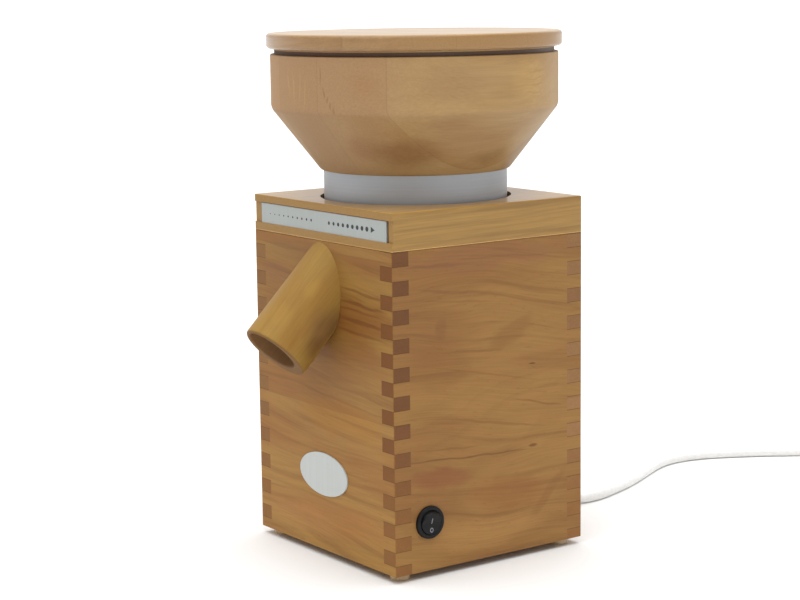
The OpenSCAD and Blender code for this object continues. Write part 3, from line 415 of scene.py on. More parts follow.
def woodFigure(spec):
    # Place has X along the grain, Y across the boards and Z through them, in metres
    tree = bpy.data.node_groups.new("wood figure", "ShaderNodeTree")
    add = partial(addNode, tree)
    tree.interface.new_socket(name="Place", in_out="INPUT", socket_type="NodeSocketVector")
    for name in figureInputs:
        tree.interface.new_socket(name=name, in_out="INPUT", socket_type="NodeSocketFloat")
    for name in ("Rings", "Bands", "Streaks", "Board", "Seam", "Fibre", "Flecks"):
        tree.interface.new_socket(name=name, in_out="OUTPUT", socket_type="NodeSocketFloat")
    given = add("NodeGroupInput").outputs

    # the grain rises by its slope and wanders a little on the way
    place = add("ShaderNodeSeparateXYZ", (given["Place"],)).outputs
    wave = add("ShaderNodeVectorMath", (given["Place"], spec["waves"]), operation="MULTIPLY")
    waves = add("ShaderNodeTexNoise", {"Vector": wave, "Scale": 1.0, "Detail": 1.0})
    reach = add("ShaderNodeMath", (given["Wander"], spec["waveShare"]), operation="MULTIPLY")
    wavy = add("ShaderNodeMath", (waves, reach), operation="MULTIPLY")
    lift = add("ShaderNodeMath", (place["X"], given["Slope"], wavy), operation="MULTIPLY_ADD")
    level = add("ShaderNodeMath", (place["Y"], lift), operation="SUBTRACT")
    sloped = add("ShaderNodeCombineXYZ", (place["X"], level, place["Z"]))

    # which board a point is in, and how far it is from that board's seam
    shifted = add("ShaderNodeMath", (place["Y"], given["Board Shift"]), operation="ADD")
    across = add("ShaderNodeMath", (shifted, given["Board Width"]), operation="DIVIDE")
    index = add("ShaderNodeMath", (across,), operation="FLOOR")
    inBoard = add("ShaderNodeMath", (across, index), operation="SUBTRACT")
    boardSeed = add("ShaderNodeMath", (index, given["Seed"]), operation="ADD")
    board = add("ShaderNodeTexWhiteNoise", {"W": boardSeed}, noise_dimensions="1D").outputs
    chance = add("ShaderNodeSeparateColor", (board["Color"],)).outputs
    shift = add("ShaderNodeMath", (board["Value"], spec["boardStep"]), operation="MULTIPLY")
    farSide = add("ShaderNodeMath", (1.0, inBoard), operation="SUBTRACT")
    nearSide = add("ShaderNodeMath", (inBoard, farSide), operation="MINIMUM")
    toSeam = add("ShaderNodeMath", (nearSide, given["Board Width"]), operation="MULTIPLY")
    seam = add("ShaderNodeMapRange", (toSeam, *spec["seamRange"], 1.0, 0.0),
               interpolation_type="SMOOTHSTEP")

    def drawnOut(scales, detail, roughness=0.5):
        # noise that is long with the grain and differs from board to board
        away = add("ShaderNodeCombineXYZ", (shift, shift, shift))
        spread = add("ShaderNodeVectorMath", (sloped, scales, away), operation="MULTIPLY_ADD")
        return add("ShaderNodeTexNoise", {
            "Vector": spread, "Scale": 1.0, "Detail": detail, "Roughness": roughness})

    # distance from the board's own pith, which lies a little askew, so that flat faces show arches
    pith = add("ShaderNodeMath", (chance[0], *spec["pithAcross"]), operation="MULTIPLY_ADD")
    aside = add("ShaderNodeMath", (inBoard, pith), operation="SUBTRACT")
    fromPithY = add("ShaderNodeMath", (aside, given["Board Width"]), operation="MULTIPLY")
    sunk = add("ShaderNodeMath", (chance[1], *spec["pithDepth"]), operation="MULTIPLY_ADD")
    fromPithZ = add("ShaderNodeMath", (given["Pith Depth"], sunk, place["Z"]), operation="MULTIPLY_ADD")
    fromPith = add("ShaderNodeCombineXYZ", {"Y": fromPithY, "Z": fromPithZ})
    flat = add("ShaderNodeVectorMath", (fromPith,), operation="LENGTH").outputs["Value"]
    askew = add("ShaderNodeMath", (chance[2], *spec["pithSkew"]), operation="MULTIPLY_ADD")
    skewed = add("ShaderNodeMath", (place["X"], askew, flat), operation="MULTIPLY_ADD")
    bend = add("ShaderNodeMath", (drawnOut(*spec["bends"]), 0.5), operation="SUBTRACT")
    depth = add("ShaderNodeMath", (bend, given["Wander"], skewed), operation="MULTIPLY_ADD")

    # growth rings of uneven width, each pale at first and dark where it ends
    evenly = add("ShaderNodeMath", (depth, given["Ring Gap"]), operation="DIVIDE")
    slowly = add("ShaderNodeMath", (evenly, spec["ringPace"]), operation="MULTIPLY")
    uneven = add("ShaderNodeTexNoise", {"W": slowly, "Scale": 1.0, "Detail": 1.0}, noise_dimensions="1D")
    ringPlace = add("ShaderNodeMath", (uneven, spec["ringUneven"], evenly), operation="MULTIPLY_ADD")
    ringIndex = add("ShaderNodeMath", (ringPlace,), operation="FLOOR")
    ringPart = add("ShaderNodeMath", (ringPlace, ringIndex), operation="SUBTRACT")
    ringSeed = add("ShaderNodeMath", (ringIndex, shift), operation="ADD")
    ringChance = add("ShaderNodeTexWhiteNoise", {"W": ringSeed}, noise_dimensions="1D")
    darkens = add("ShaderNodeMapRange", (ringPart, *spec["ringDark"]), interpolation_type="SMOOTHSTEP")
    ends = add("ShaderNodeMapRange", (ringPart, *spec["ringEnd"], 1.0, 0.0), interpolation_type="SMOOTHSTEP")
    late = add("ShaderNodeMath", (darkens, ends), operation="MULTIPLY")
    strong = add("ShaderNodeMath", (ringChance, *spec["ringStrength"]), operation="MULTIPLY_ADD")

    add("NodeGroupOutput", {
        "Rings": add("ShaderNodeMath", (late, strong), operation="MULTIPLY"),
        "Bands": drawnOut(*spec["bands"]),
        "Streaks": drawnOut(*spec["streaks"]),
        "Board": board["Value"],
        "Seam": seam,
        "Fibre": drawnOut(*spec["fibre"]),
        "Flecks": add("ShaderNodeMapRange", (drawnOut(*spec["flecks"]), *spec["fleckRange"]),
                      interpolation_type="SMOOTHSTEP"),
    })
    return tree


figureTree = woodFigure(figureSpec)

# What most of the woods share. The tones are painted light and shade: they darken or lighten the top and
# the foot, paint a sheen on the faces that look up and shade on the faces that look down; turn is the degrees
# about X that bring a slanted grain onto an axis. Each range is where that part of the figure, or that
# direction or height in metres, begins and ends to count.
plainWood = {
    "coat": 0, "coatRough": 0.14, "slope": 0.0, "boardTone": 0.0, "turn": 0,
    "paintedTopLight": 1, "paintedFootLight": 1, "footRange": (0.02, 0.22),
    "paintedUpSheen": (1, 1, 1), "upRange": (0.5, 0.95), "paintedUnderShade": 1, "underRange": (-0.6, -0.2),
    "bandRange": (0.36, 0.64), "streakRange": (0.48, 0.72), "endRange": (0.45, 0.95),
    "fibreRange": (0.3, 0.7), "fibreTone": (0.94, 1.06), "fibreRough": 0.16,
    "endRough": 0.25,  # end grain stays matt
    "fleckShare": 0.2, "seam": "#5d3c26", "seamShare": 0.14,
    "relief": 0.3, "reliefDepth": 0.00012, "fibreHeight": 0.5, "fleckHeight": -0.4,
    "markScale": 34.0, "markSway": (2, 0.4), "markRange": (0.1, 1.0), "marks": [],
    "patchScale": 45.0, "patchSway": 0.009, "patchRange": (0.25, 1.0), "patches": [],
    "paintedShadeAndLight": [],
}

# Oiled cherry boards: warm, low contrast, with the end grain drinking the oil and going brown. The oil
# lies thin on the upright boards, which stay dull, and thicker on the cover and the lid, which shine a
# little. The spout is a lighter wood, with painted shade below and a bore painted darker brown. The base is
# plain birch plywood.
# grain, boards: which object axes run along the grain and across the glued boards.
# marks: along and across the board in millimetres, half length, half width, slope, colour and share.
# patches: centre and half sizes in millimetres, colour and share. Boxes of painted shadow and painted light:
# a box, its colour and share.
# ends: the colours of the near and the far board's finger ends.
woodSpecs = {
    "front": {
        "name": "oiled cherry front", "grain": "X", "boards": "Z", "gloss": 0.2, "rough": 0.42,
        "light": "#9b7338", "dark": "#794f24", "band": "#8d5d2b", "end": "#6d411c",
        # painted light: the top is painted darker and the foot lighter, as the light falls on the front
        "ends": ("#775032", "#9e764e"), "paintedTopLight": 0.95, "paintedFootLight": 1.1, "boardTone": 0.08,
        "boardWidth": 0.114, "boardShift": 0.002, "ringGap": 0.0052, "pithDepth": 0.05, "wander": 0.016,
        "seed": 3.0, "slope": -0.05, "bandShare": 0.8, "streakShare": 0.55, "ringShare": 0.2,
        "marks": [
            (45, 182, 62, 17, -0.07, "#7f4920", 0.55), (52, 201, 34, 1.3, -0.07, "#6b3f1d", 0.5),
            (52, 192.5, 36, 1.8, -0.06, "#6b3d1d", 0.6), (48, 188, 34, 1.2, -0.06, "#70421f", 0.5),
            (52, 180, 36, 2.2, -0.07, "#693b1c", 0.6), (50, 171.5, 38, 1.6, -0.07, "#6b3f1d", 0.5),
            (-60, 204, 26, 11, 0.0, "#84573c", 0.3), (20, 121, 80, 1.3, -0.08, "#795027", 0.4),
            (40, 106, 60, 1.2, -0.03, "#784f28", 0.4), (30, 84.5, 56, 1.1, 0.0, "#7e5327", 0.4),
            (20, 32, 80, 16, 0.0, "#9a6531", 0.45), (-25, 223, 60, 9, 0.0, "#805d37", 0.25),
            (20, 108, 64, 18, -0.03, "#9c6820", 0.5), (46, 158, 34, 14, 0.0, "#7d4d2d", 0.3),
            (-30, 24, 60, 14, 0.0, "#ab7b43", 0.35),
        ],
    },
    "side": {
        "name": "oiled cherry side", "grain": "Y", "boards": "Z", "gloss": 0.2, "rough": 0.42,
        "light": "#9b733f", "dark": "#78512c", "band": "#8d6237", "end": "#6f4320",
        # painted light: the foot is painted a little lighter than the top, as the light falls on the side
        "ends": ("#8d683f", "#794d26"), "paintedTopLight": 0.99, "paintedFootLight": 1.05,
        "boardWidth": 0.3, "boardShift": 0.05, "ringGap": 0.006, "pithDepth": 0.06, "wander": 0.02,
        "seed": 11.0, "slope": -0.09, "bandShare": 0.75, "streakShare": 0.5, "ringShare": 0.15,
        "marks": [
            (-22, 82.2, 72, 0.9, -0.052, "#654422", 0.6), (38.6, 81.8, 5, 1.6, 0.0, "#664123", 0.75),
            (-40, 90.5, 40, 0.9, -0.07, "#7b5727", 0.5), (-45, 70, 34, 9.5, -0.1, "#854f32", 0.65),
            (16, 50, 44, 17, -0.1, "#8e592f", 0.5), (52, 43, 22, 7, 0.95, "#7f522d", 0.3),
            (2, 104, 60, 1.3, -0.19, "#7e562f", 0.5), (-45, 221, 30, 1.6, -0.04, "#784d32", 0.5),
            (18, 222, 52, 1.0, -0.03, "#7a5732", 0.5), (-30, 201, 45, 1.6, -0.12, "#7a5330", 0.45),
            (-30, 194.5, 42, 1.0, -0.1, "#805830", 0.4), (19, 167, 24, 10, 0.35, "#7a512b", 0.36),
            (-44, 176, 7, 9, 0.0, "#7f5632", 0.45), (38, 141.8, 4, 0.8, -0.1, "#55371c", 0.8),
            (44, 113, 28, 1.0, -0.23, "#795027", 0.5), (-20, 158, 42, 1.0, -0.08, "#7f582e", 0.4),
            (-10, 141, 62, 1.0, -0.22, "#7f582e", 0.4), (0, 224, 90, 13, -0.02, "#8d6042", 0.4),
            (-45, 150, 34, 24, -0.1, "#83572e", 0.35), (-4, 24, 64, 13, -0.03, "#b0834b", 0.45),
        ],
    },
    "cover": {
        "name": "oiled cherry cover", "grain": "Y", "boards": "X", "coat": 0.35, "gloss": 0.25, "rough": 0.3,
        "light": "#a57f3f", "dark": "#84622d", "band": "#956e35", "end": "#946e2f",
        # painted reflection: faces that look up are painted lighter, as if they mirrored the bright room
        "paintedUpSheen": (1.35, 1.36, 1.3), "boardTone": 0.06,
        "boardWidth": 0.09, "boardShift": 0.04, "ringGap": 0.0034, "pithDepth": 0.09, "wander": 0.005,
        "seed": 5.0, "bandShare": 0.5, "streakShare": 0.7, "ringShare": 0.4,
        "paintedShadeAndLight": [  # painted shadow in the gaps at the ends of the strip, and painted light on the cover's lower edge against the shade of the seam over the case
            ((-80, -84, 239.3), (-78.2, -83, 255), "#3b2a1c", 0.85),
            ((80.8, -84, 239.3), (82.4, -83, 255), "#3b2a1c", 0.85),
            ((-90, -90, 232.9), (90, 90, 233.9), "#dcae6c", 0.8),
        ],
    },
    "bowl": {
        "name": "turned cherry bowl", "grain": "Y", "boards": "X", "gloss": 0.35, "rough": 0.38,
        "light": "#ae8d5d", "dark": "#8f693e", "band": "#9d7544", "end": "#a3805b",
        # painted shade: faces that look down, on the cone, are painted darker
        "paintedUnderShade": 0.85, "boardTone": 0.07,
        "boardWidth": 0.0467, "boardShift": -0.025, "ringGap": 0.007, "pithDepth": 0.33, "wander": 0.03,
        "seed": 21.0, "slope": 0.1, "bandShare": 0.7, "streakShare": 0.2, "ringShare": 0.12,
        # painted shadow: the step under the lid's overhang is painted dark
        "step": {"low": 364.1, "high": 367.0, "radius": 100.5, "colour": "#3d2826", "share": 0.85},
        "patches": [
            (66, -55, 297, 34, 34, 15, "#7c4d2c", 0.55), (42, -72, 303, 22, 18, 16, "#8a5c38", 0.4),
            (78, 7, 292, 10, 22, 9, "#7d5a2c", 0.4), (76, -32, 318, 26, 22, 8, "#8d6440", 0.3),
            (100, 34, 352, 12, 14, 1.1, "#8f6336", 0.5), (100, 34, 347, 12, 13, 1, "#8f6336", 0.5),
            (100, 34, 342, 12, 14, 1, "#8f6336", 0.5), (101, 30, 337, 12, 12, 0.9, "#8f6336", 0.4),
            (-6, -104, 344, 1.2, 8, 15, "#c99f62", 0.25), (0, -104, 340, 1.1, 8, 17, "#c99f62", 0.25),
            (7, -104, 343, 1.2, 8, 16, "#c99f62", 0.25), (13, -103, 338, 1.1, 8, 14, "#c99f62", 0.22),
            (60, -86, 346, 18, 14, 12, "#9a6e45", 0.3), (97, -38, 347, 30, 40, 20, "#9d7b56", 0.4),
            (101, 27, 347, 14, 30, 22, "#c39b51", 0.35), (29, -100, 351, 0.8, 5, 9, "#7d5b36", 0.55),
            (30.5, -100, 340, 0.9, 5, 5, "#7d5b36", 0.5), (32.8, -99.3, 335.5, 1.1, 5, 4, "#7d5b36", 0.5),
            (35.3, -98.4, 331.5, 1.2, 5, 4, "#7d5b36", 0.45), (38, -97.4, 328, 1.3, 5, 4, "#7d5b36", 0.4),
        ],
    },
    "lid": {
        "name": "turned cherry lid", "grain": "X", "boards": "Y", "coat": 0.5, "gloss": 0.25, "rough": 0.3,
        "light": "#9c794e", "dark": "#805d37", "band": "#8d673e", "end": "#9e7849",
        # painted reflection on the faces that look up, and painted shade on those that look down
        "paintedUpSheen": (1.5, 1.6, 1.5), "paintedUnderShade": 0.9, "boardTone": 0.06,
        "boardWidth": 0.058, "boardShift": 0.02, "ringGap": 0.0042, "pithDepth": 0.4, "wander": 0.012,
        "seed": 8.0, "bandShare": 0.6, "streakShare": 0.3, "ringShare": 0.2,
    },
    "spout": {
        "name": "turned pale spout wood", "grain": "Z", "boards": "X", "gloss": 0.12, "rough": 0.4,
        "light": "#a48242", "dark": "#88642e", "band": "#956d35", "end": "#8a6843",
        # painted shade: faces that look down are painted darker
        "paintedUnderShade": 0.74, "turn": 45,
        "boardWidth": 0.2, "boardShift": 0.1, "ringGap": 0.0045, "pithDepth": 0.05, "wander": 0.012,
        "seed": 14.0, "bandShare": 0.7, "streakShare": 0.18, "ringShare": 0.15,
        "bore": {"on": (0, -87.1, 198.6), "radius": 19, "from": 0.3, "to": 0.9,
                 "colour": "#7f5b4b", "share": 0.6},
        "patches": [
            # painted shade: the first two patches darken the underside of the spout
            (24, -96, 172, 12, 26, 22, "#6a4839", 0.5), (24, -108, 160, 12, 16, 12, "#5e3c28", 0.4),
            (24, -119, 175, 8, 9, 9, "#8f6534", 0.3), (17, -104, 205, 7, 12, 14, "#b28c42", 0.35),
            (12, -128, 188, 9, 12, 12, "#b08a40", 0.3), (22, -124, 168, 6, 6, 7, "#93682f", 0.3),
            (16.3, -127.8, 184.8, 1, 1, 1, "#6f4c22", 0.55),
            (18.6, -132.8, 176.5, 1.1, 1.1, 1.1, "#6f4c22", 0.6),
            (20.3, -117.9, 188.5, 0.9, 0.9, 1.4, "#76521f", 0.5),
        ],
    },
    "plywood": {
        "name": "sanded birch plywood", "grain": "X", "boards": "Y", "gloss": 0.3, "rough": 0.5,
        "light": "#cfae7c", "dark": "#b8915b", "band": "#c09b68", "end": "#a07a4c",
        "boardWidth": 0.5, "boardShift": 0.25, "ringGap": 0.009, "pithDepth": 0.02, "wander": 0.03,
        "seed": 2.0, "bandShare": 0.4, "streakShare": 0.4, "ringShare": 0.2,
    },
}

# The finger ends down each corner and the thin dark joints between them
fingerSpec = {
    "pitch": 10,
    "depth": 14,
    "farFrom": 20,  # a board or an end past this is a far one
    "otherEnd": "#7b5034",
    "otherShare": 0.4,
    # painted light: the lower finger ends are painted lighter, for the light the floor throws back onto them
    "paintedLowLightEnd": "#8f6438",
    "paintedLowLightShare": 0.8,
    "lowFrom": 20,
    "lowTo": 110,
    "streak": "#55341f",
    "streakShare": 0.25,
    "joint": "#4a2c14",
    "jointHalf": 0.22,
    "jointEdge": (0.4, 1.6),  # the line fades between these shares of its half width
    "jointShare": 0.6,
    "seedSteps": (31.7, 57.3),  # keeps the ends of the four boards apart
}


def layColours(tree, colour, layers):
    # each layer is a share, a colour and a way of blending, from the lowest up
    for share, paint, way in layers:
        paint = toLinear(paint) if isinstance(paint, str) else paint
        colour = addNode(tree, "ShaderNodeMix", {0: share, mixA: colour, mixB: paint},
                         data_type="RGBA", blend_type=way).outputs[mixColour]
    return colour


def woodMaterial(spec):
    wood = bpy.data.materials.new(spec["name"])
    wood.use_nodes = True
    tree = wood.node_tree
    add = partial(addNode, tree)
    shader = tree.nodes["Principled BSDF"]
    shader.inputs["Specular IOR Level"].default_value = spec["gloss"]
    shader.inputs["Coat Weight"].default_value = spec["coat"]
    shader.inputs["Coat Roughness"].default_value = spec["coatRough"]

    where = add("ShaderNodeTexCoord").outputs
    turned = (math.radians(spec["turn"]), 0, 0)
    place = add("ShaderNodeMapping", {"Vector": where["Object"], "Rotation": turned})
    facing = add("ShaderNodeMapping", {"Vector": where["Normal"], "Rotation": turned}, vector_type="NORMAL")
    axes = add("ShaderNodeSeparateXYZ", (place,)).outputs
    normal = add("ShaderNodeSeparateXYZ", (facing,)).outputs
    along, across = spec["grain"], spec["boards"]
    through = [a for a in "XYZ" if a not in (along, across)][0]
    oriented = add("ShaderNodeCombineXYZ", (axes[along], axes[across], axes[through]))
    figure = {name: spec[key] for name, key in figureInputs.items()}
    drawn = add("ShaderNodeGroup", {"Place": oriented, **figure}, node_tree=figureTree).outputs

    def insideOf(share, limits):
        # the share where every value passes its limit, and nothing elsewhere
        for value, comparison, limit in limits:
            passes = add("ShaderNodeMath", (value, limit), operation=comparison)
            share = add("ShaderNodeMath", (share, passes), operation="MULTIPLY")
        return share

    bands = add("ShaderNodeMapRange", (drawn["Bands"], *spec["bandRange"], 0.0, spec["bandShare"]),
                interpolation_type="SMOOTHSTEP")
    streaks = add("ShaderNodeMapRange", (drawn["Streaks"], *spec["streakRange"], 0.0, spec["streakShare"]),
                  interpolation_type="SMOOTHSTEP")
    rings = add("ShaderNodeMath", (drawn["Rings"], spec["ringShare"]), operation="MULTIPLY")
    layers = [(bands, spec["band"], "MIX"), (streaks, spec["dark"], "MIX"), (rings, spec["dark"], "MIX")]

    # marks that one board has in one place: dark lines, knots and reddish patches
    zero = dict(zip("XYZ", atMill(0, 0, 0)))
    wobble = add("ShaderNodeTexNoise", {"Vector": where["Object"], "Scale": spec["markScale"], "Detail": 2.0})
    for a, c, halfLength, halfWidth, slope, shade, share in spec["marks"]:
        sway = (spec["markSway"][0] + spec["markSway"][1] * halfWidth) * mm  # how far noise moves its edges
        u = add("ShaderNodeMath", (axes[along], zero[along] + a * mm), operation="SUBTRACT")
        tilted = add("ShaderNodeMath", (axes[across], zero[across] + c * mm), operation="SUBTRACT")
        level = add("ShaderNodeMath", (u, -slope, tilted), operation="MULTIPLY_ADD")
        swaying = add("ShaderNodeMath", (wobble, 2 * sway, -sway), operation="MULTIPLY_ADD")
        v = add("ShaderNodeMath", (level, swaying), operation="ADD")
        spot = add("ShaderNodeCombineXYZ", (u, v))
        spot = add("ShaderNodeVectorMath", (spot, (halfLength * mm, halfWidth * mm, 1)), operation="DIVIDE")
        out = add("ShaderNodeVectorMath", (spot, spot), operation="DOT_PRODUCT").outputs["Value"]
        faded = add("ShaderNodeMapRange", (out, *spec["markRange"], share, 0.0),
                    interpolation_type="SMOOTHSTEP")
        layers.append((faded, shade, "MIX"))

    # end grain, and on the case the finger ends, each a little different, with their joints
    steep = add("ShaderNodeMath", (normal[along],), operation="ABSOLUTE")
    endGrain = add("ShaderNodeMapRange", (steep, *spec["endRange"]), interpolation_type="SMOOTHSTEP")
    if "ends" in spec:
        finger = fingerSpec
        boardStep, endStep = finger["seedSteps"]
        fromTop = add("ShaderNodeMath", (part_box("front_panel")[1].z, axes["Z"]), operation="SUBTRACT")
        count = add("ShaderNodeMath", (fromTop, finger["pitch"] * mm), operation="DIVIDE")
        index = add("ShaderNodeMath", (count,), operation="FLOOR")
        farBoard = add("ShaderNodeMath", (axes[through], finger["farFrom"] * mm), operation="GREATER_THAN")
        farEnd = add("ShaderNodeMath", (axes[along], finger["farFrom"] * mm), operation="GREATER_THAN")
        boardSeed = add("ShaderNodeMath", (farBoard, boardStep, index), operation="MULTIPLY_ADD")
        fingerSeed = add("ShaderNodeMath", (farEnd, endStep, boardSeed), operation="MULTIPLY_ADD")
        chance = add("ShaderNodeTexWhiteNoise", {"W": fingerSeed}, noise_dimensions="1D")
        other = add("ShaderNodeMath", (chance, finger["otherShare"]), operation="MULTIPLY")
        # painted light: finger ends lighter towards the foot
        lower = add("ShaderNodeMapRange", (
            axes["Z"], finger["lowFrom"] * mm, finger["lowTo"] * mm, finger["paintedLowLightShare"], 0.0),
            interpolation_type="SMOOTHSTEP")
        streaked = add("ShaderNodeMath", (drawn["Streaks"], finger["streakShare"]), operation="MULTIPLY")
        endColour = layColours(tree, toLinear(spec["ends"][0]), [
            (farBoard, spec["ends"][1], "MIX"), (other, finger["otherEnd"], "MIX"),
            (lower, finger["paintedLowLightEnd"], "MIX"), (streaked, finger["streak"], "MIX")])
        inFinger = add("ShaderNodeMath", (count, index), operation="SUBTRACT")
        farSide = add("ShaderNodeMath", (1.0, inFinger), operation="SUBTRACT")
        nearSide = add("ShaderNodeMath", (inFinger, farSide), operation="MINIMUM")
        dark, bare = (edge * finger["jointHalf"] / finger["pitch"] for edge in finger["jointEdge"])
        line = add("ShaderNodeMapRange", (nearSide, dark, bare, finger["jointShare"], 0.0),
                   interpolation_type="SMOOTHSTEP")
        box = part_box("front_panel" if along == "X" else "right_panel")
        low, high = (dict(zip("XYZ", corner))[along] for corner in box)
        centre, reach = (low + high) / 2, (high - low) / 2 - finger["depth"] * mm
        offset = add("ShaderNodeMath", (axes[along], centre), operation="SUBTRACT")
        aside = add("ShaderNodeMath", (offset,), operation="ABSOLUTE")
        layers += [(endGrain, endColour, "MIX"),
                   (insideOf(line, [(aside, "GREATER_THAN", reach)]), finger["joint"], "MIX")]
    else:
        layers.append((endGrain, spec["end"], "MIX"))

    # spots of figure on a turned piece, their edges moved by noise
    sway = Vector([spec["patchSway"]] * 3)
    drift = add("ShaderNodeTexNoise", {"Vector": where["Object"], "Scale": spec["patchScale"], "Detail": 2.0})
    swaying = add("ShaderNodeVectorMath", (drift.outputs["Color"], sway, where["Object"]),
                  operation="MULTIPLY_ADD")
    for x, y, z, rx, ry, rz, shade, share in spec["patches"]:
        centre = atMill(x, y, z) + sway / 2
        spot = add("ShaderNodeVectorMath", (swaying, centre), operation="SUBTRACT")
        spot = add("ShaderNodeVectorMath", (spot, (rx * mm, ry * mm, rz * mm)), operation="DIVIDE")
        out = add("ShaderNodeVectorMath", (spot,), operation="LENGTH").outputs["Value"]
        faded = add("ShaderNodeMapRange", (out, *spec["patchRange"], share, 0.0),
                    interpolation_type="SMOOTHSTEP")
        layers.append((faded, shade, "MIX"))

    for low, high, shade, share in spec["paintedShadeAndLight"]:  # boxes of painted shadow and painted light
        limits = [(axes[a], "GREATER_THAN", edge) for a, edge in zip("XYZ", atMill(*low))]
        limits += [(axes[a], "LESS_THAN", edge) for a, edge in zip("XYZ", atMill(*high))]
        layers.append((insideOf(share, limits), shade, "MIX"))
    flat = add("ShaderNodeVectorMath", (place, (1, 1, 0)), operation="MULTIPLY")
    if "step" in spec:  # painted shadow: the narrow step under the lid's overhang is painted dark
        step = spec["step"]
        radius = add("ShaderNodeVectorMath", (flat, (0, millY, 0)), operation="DISTANCE").outputs["Value"]
        limits = [(axes["Z"], "GREATER_THAN", step["low"] * mm), (axes["Z"], "LESS_THAN", step["high"] * mm),
                  (radius, "GREATER_THAN", step["radius"] * mm)]
        layers.append((insideOf(step["share"], limits), step["colour"], "MIX"))
    if "bore" in spec:  # the bore is painted darker brown than the outside
        bore = spec["bore"]
        middle = Matrix.Rotation(turned[0], 3, "X") @ atMill(*bore["on"])
        radius = add("ShaderNodeVectorMath", (flat, (0, middle.y, 0)), operation="DISTANCE").outputs["Value"]
        low, high = (bore["radius"] + bore["from"]) * mm, (bore["radius"] + bore["to"]) * mm
        inBore = add("ShaderNodeMapRange", (radius, low, high, bore["share"], 0.0),
                     interpolation_type="SMOOTHSTEP")
        layers.append((inBore, bore["colour"], "MIX"))

    # the tones of the whole piece, with painted light and shade by height and by facing, then the finest
    # figure over them
    shade = add("ShaderNodeMath", (drawn["Board"], spec["boardTone"], 1 - spec["boardTone"] / 2),
                operation="MULTIPLY_ADD")
    for ranged in ((drawn["Fibre"], *spec["fibreRange"], *spec["fibreTone"]),
                   (axes["Z"], *spec["footRange"], spec["paintedFootLight"], spec["paintedTopLight"]),
                   (normal["Z"], *spec["underRange"], spec["paintedUnderShade"], 1.0)):
        factor = add("ShaderNodeMapRange", ranged, interpolation_type="SMOOTHSTEP")
        shade = add("ShaderNodeMath", (shade, factor), operation="MULTIPLY")
    shadeColour = add("ShaderNodeCombineColor", (shade, shade, shade))
    # painted reflection: faces that look up are lightened by their sheen colour
    facesUp = add("ShaderNodeMapRange", (normal["Z"], *spec["upRange"]), interpolation_type="SMOOTHSTEP")
    paintedSheenColour = layColours(tree, (1, 1, 1, 1), [(facesUp, (*spec["paintedUpSheen"], 1), "MIX")])
    flecks = add("ShaderNodeMath", (drawn["Flecks"], spec["fleckShare"]), operation="MULTIPLY")
    seam = add("ShaderNodeMath", (drawn["Seam"], spec["seamShare"]), operation="MULTIPLY")
    layers += [(1.0, shadeColour, "MULTIPLY"), (1.0, paintedSheenColour, "MULTIPLY"),
               (flecks, spec["end"], "MIX"), (seam, spec["seam"], "MIX")]
    tree.links.new(layColours(tree, toLinear(spec["light"]), layers), shader.inputs["Base Color"])

    rough = add("ShaderNodeMath", (drawn["Fibre"], spec["fibreRough"], spec["rough"]),
                operation="MULTIPLY_ADD")
    rough = add("ShaderNodeMath", (endGrain, spec["endRough"], rough), operation="MULTIPLY_ADD")
    tree.links.new(rough.outputs[0], shader.inputs["Roughness"])
    pits = add("ShaderNodeMath", (drawn["Flecks"], spec["fleckHeight"]), operation="MULTIPLY")
    height = add("ShaderNodeMath", (drawn["Fibre"], spec["fibreHeight"], pits), operation="MULTIPLY_ADD")
    relief = add("ShaderNodeBump", {
        "Strength": spec["relief"], "Distance": spec["reliefDepth"], "Height": height})
    tree.links.new(relief.outputs["Normal"], shader.inputs["Normal"])
    return wood


woods = {key: woodMaterial({**plainWood, **spec}) for key, spec in woodSpecs.items()}
print("woods made")


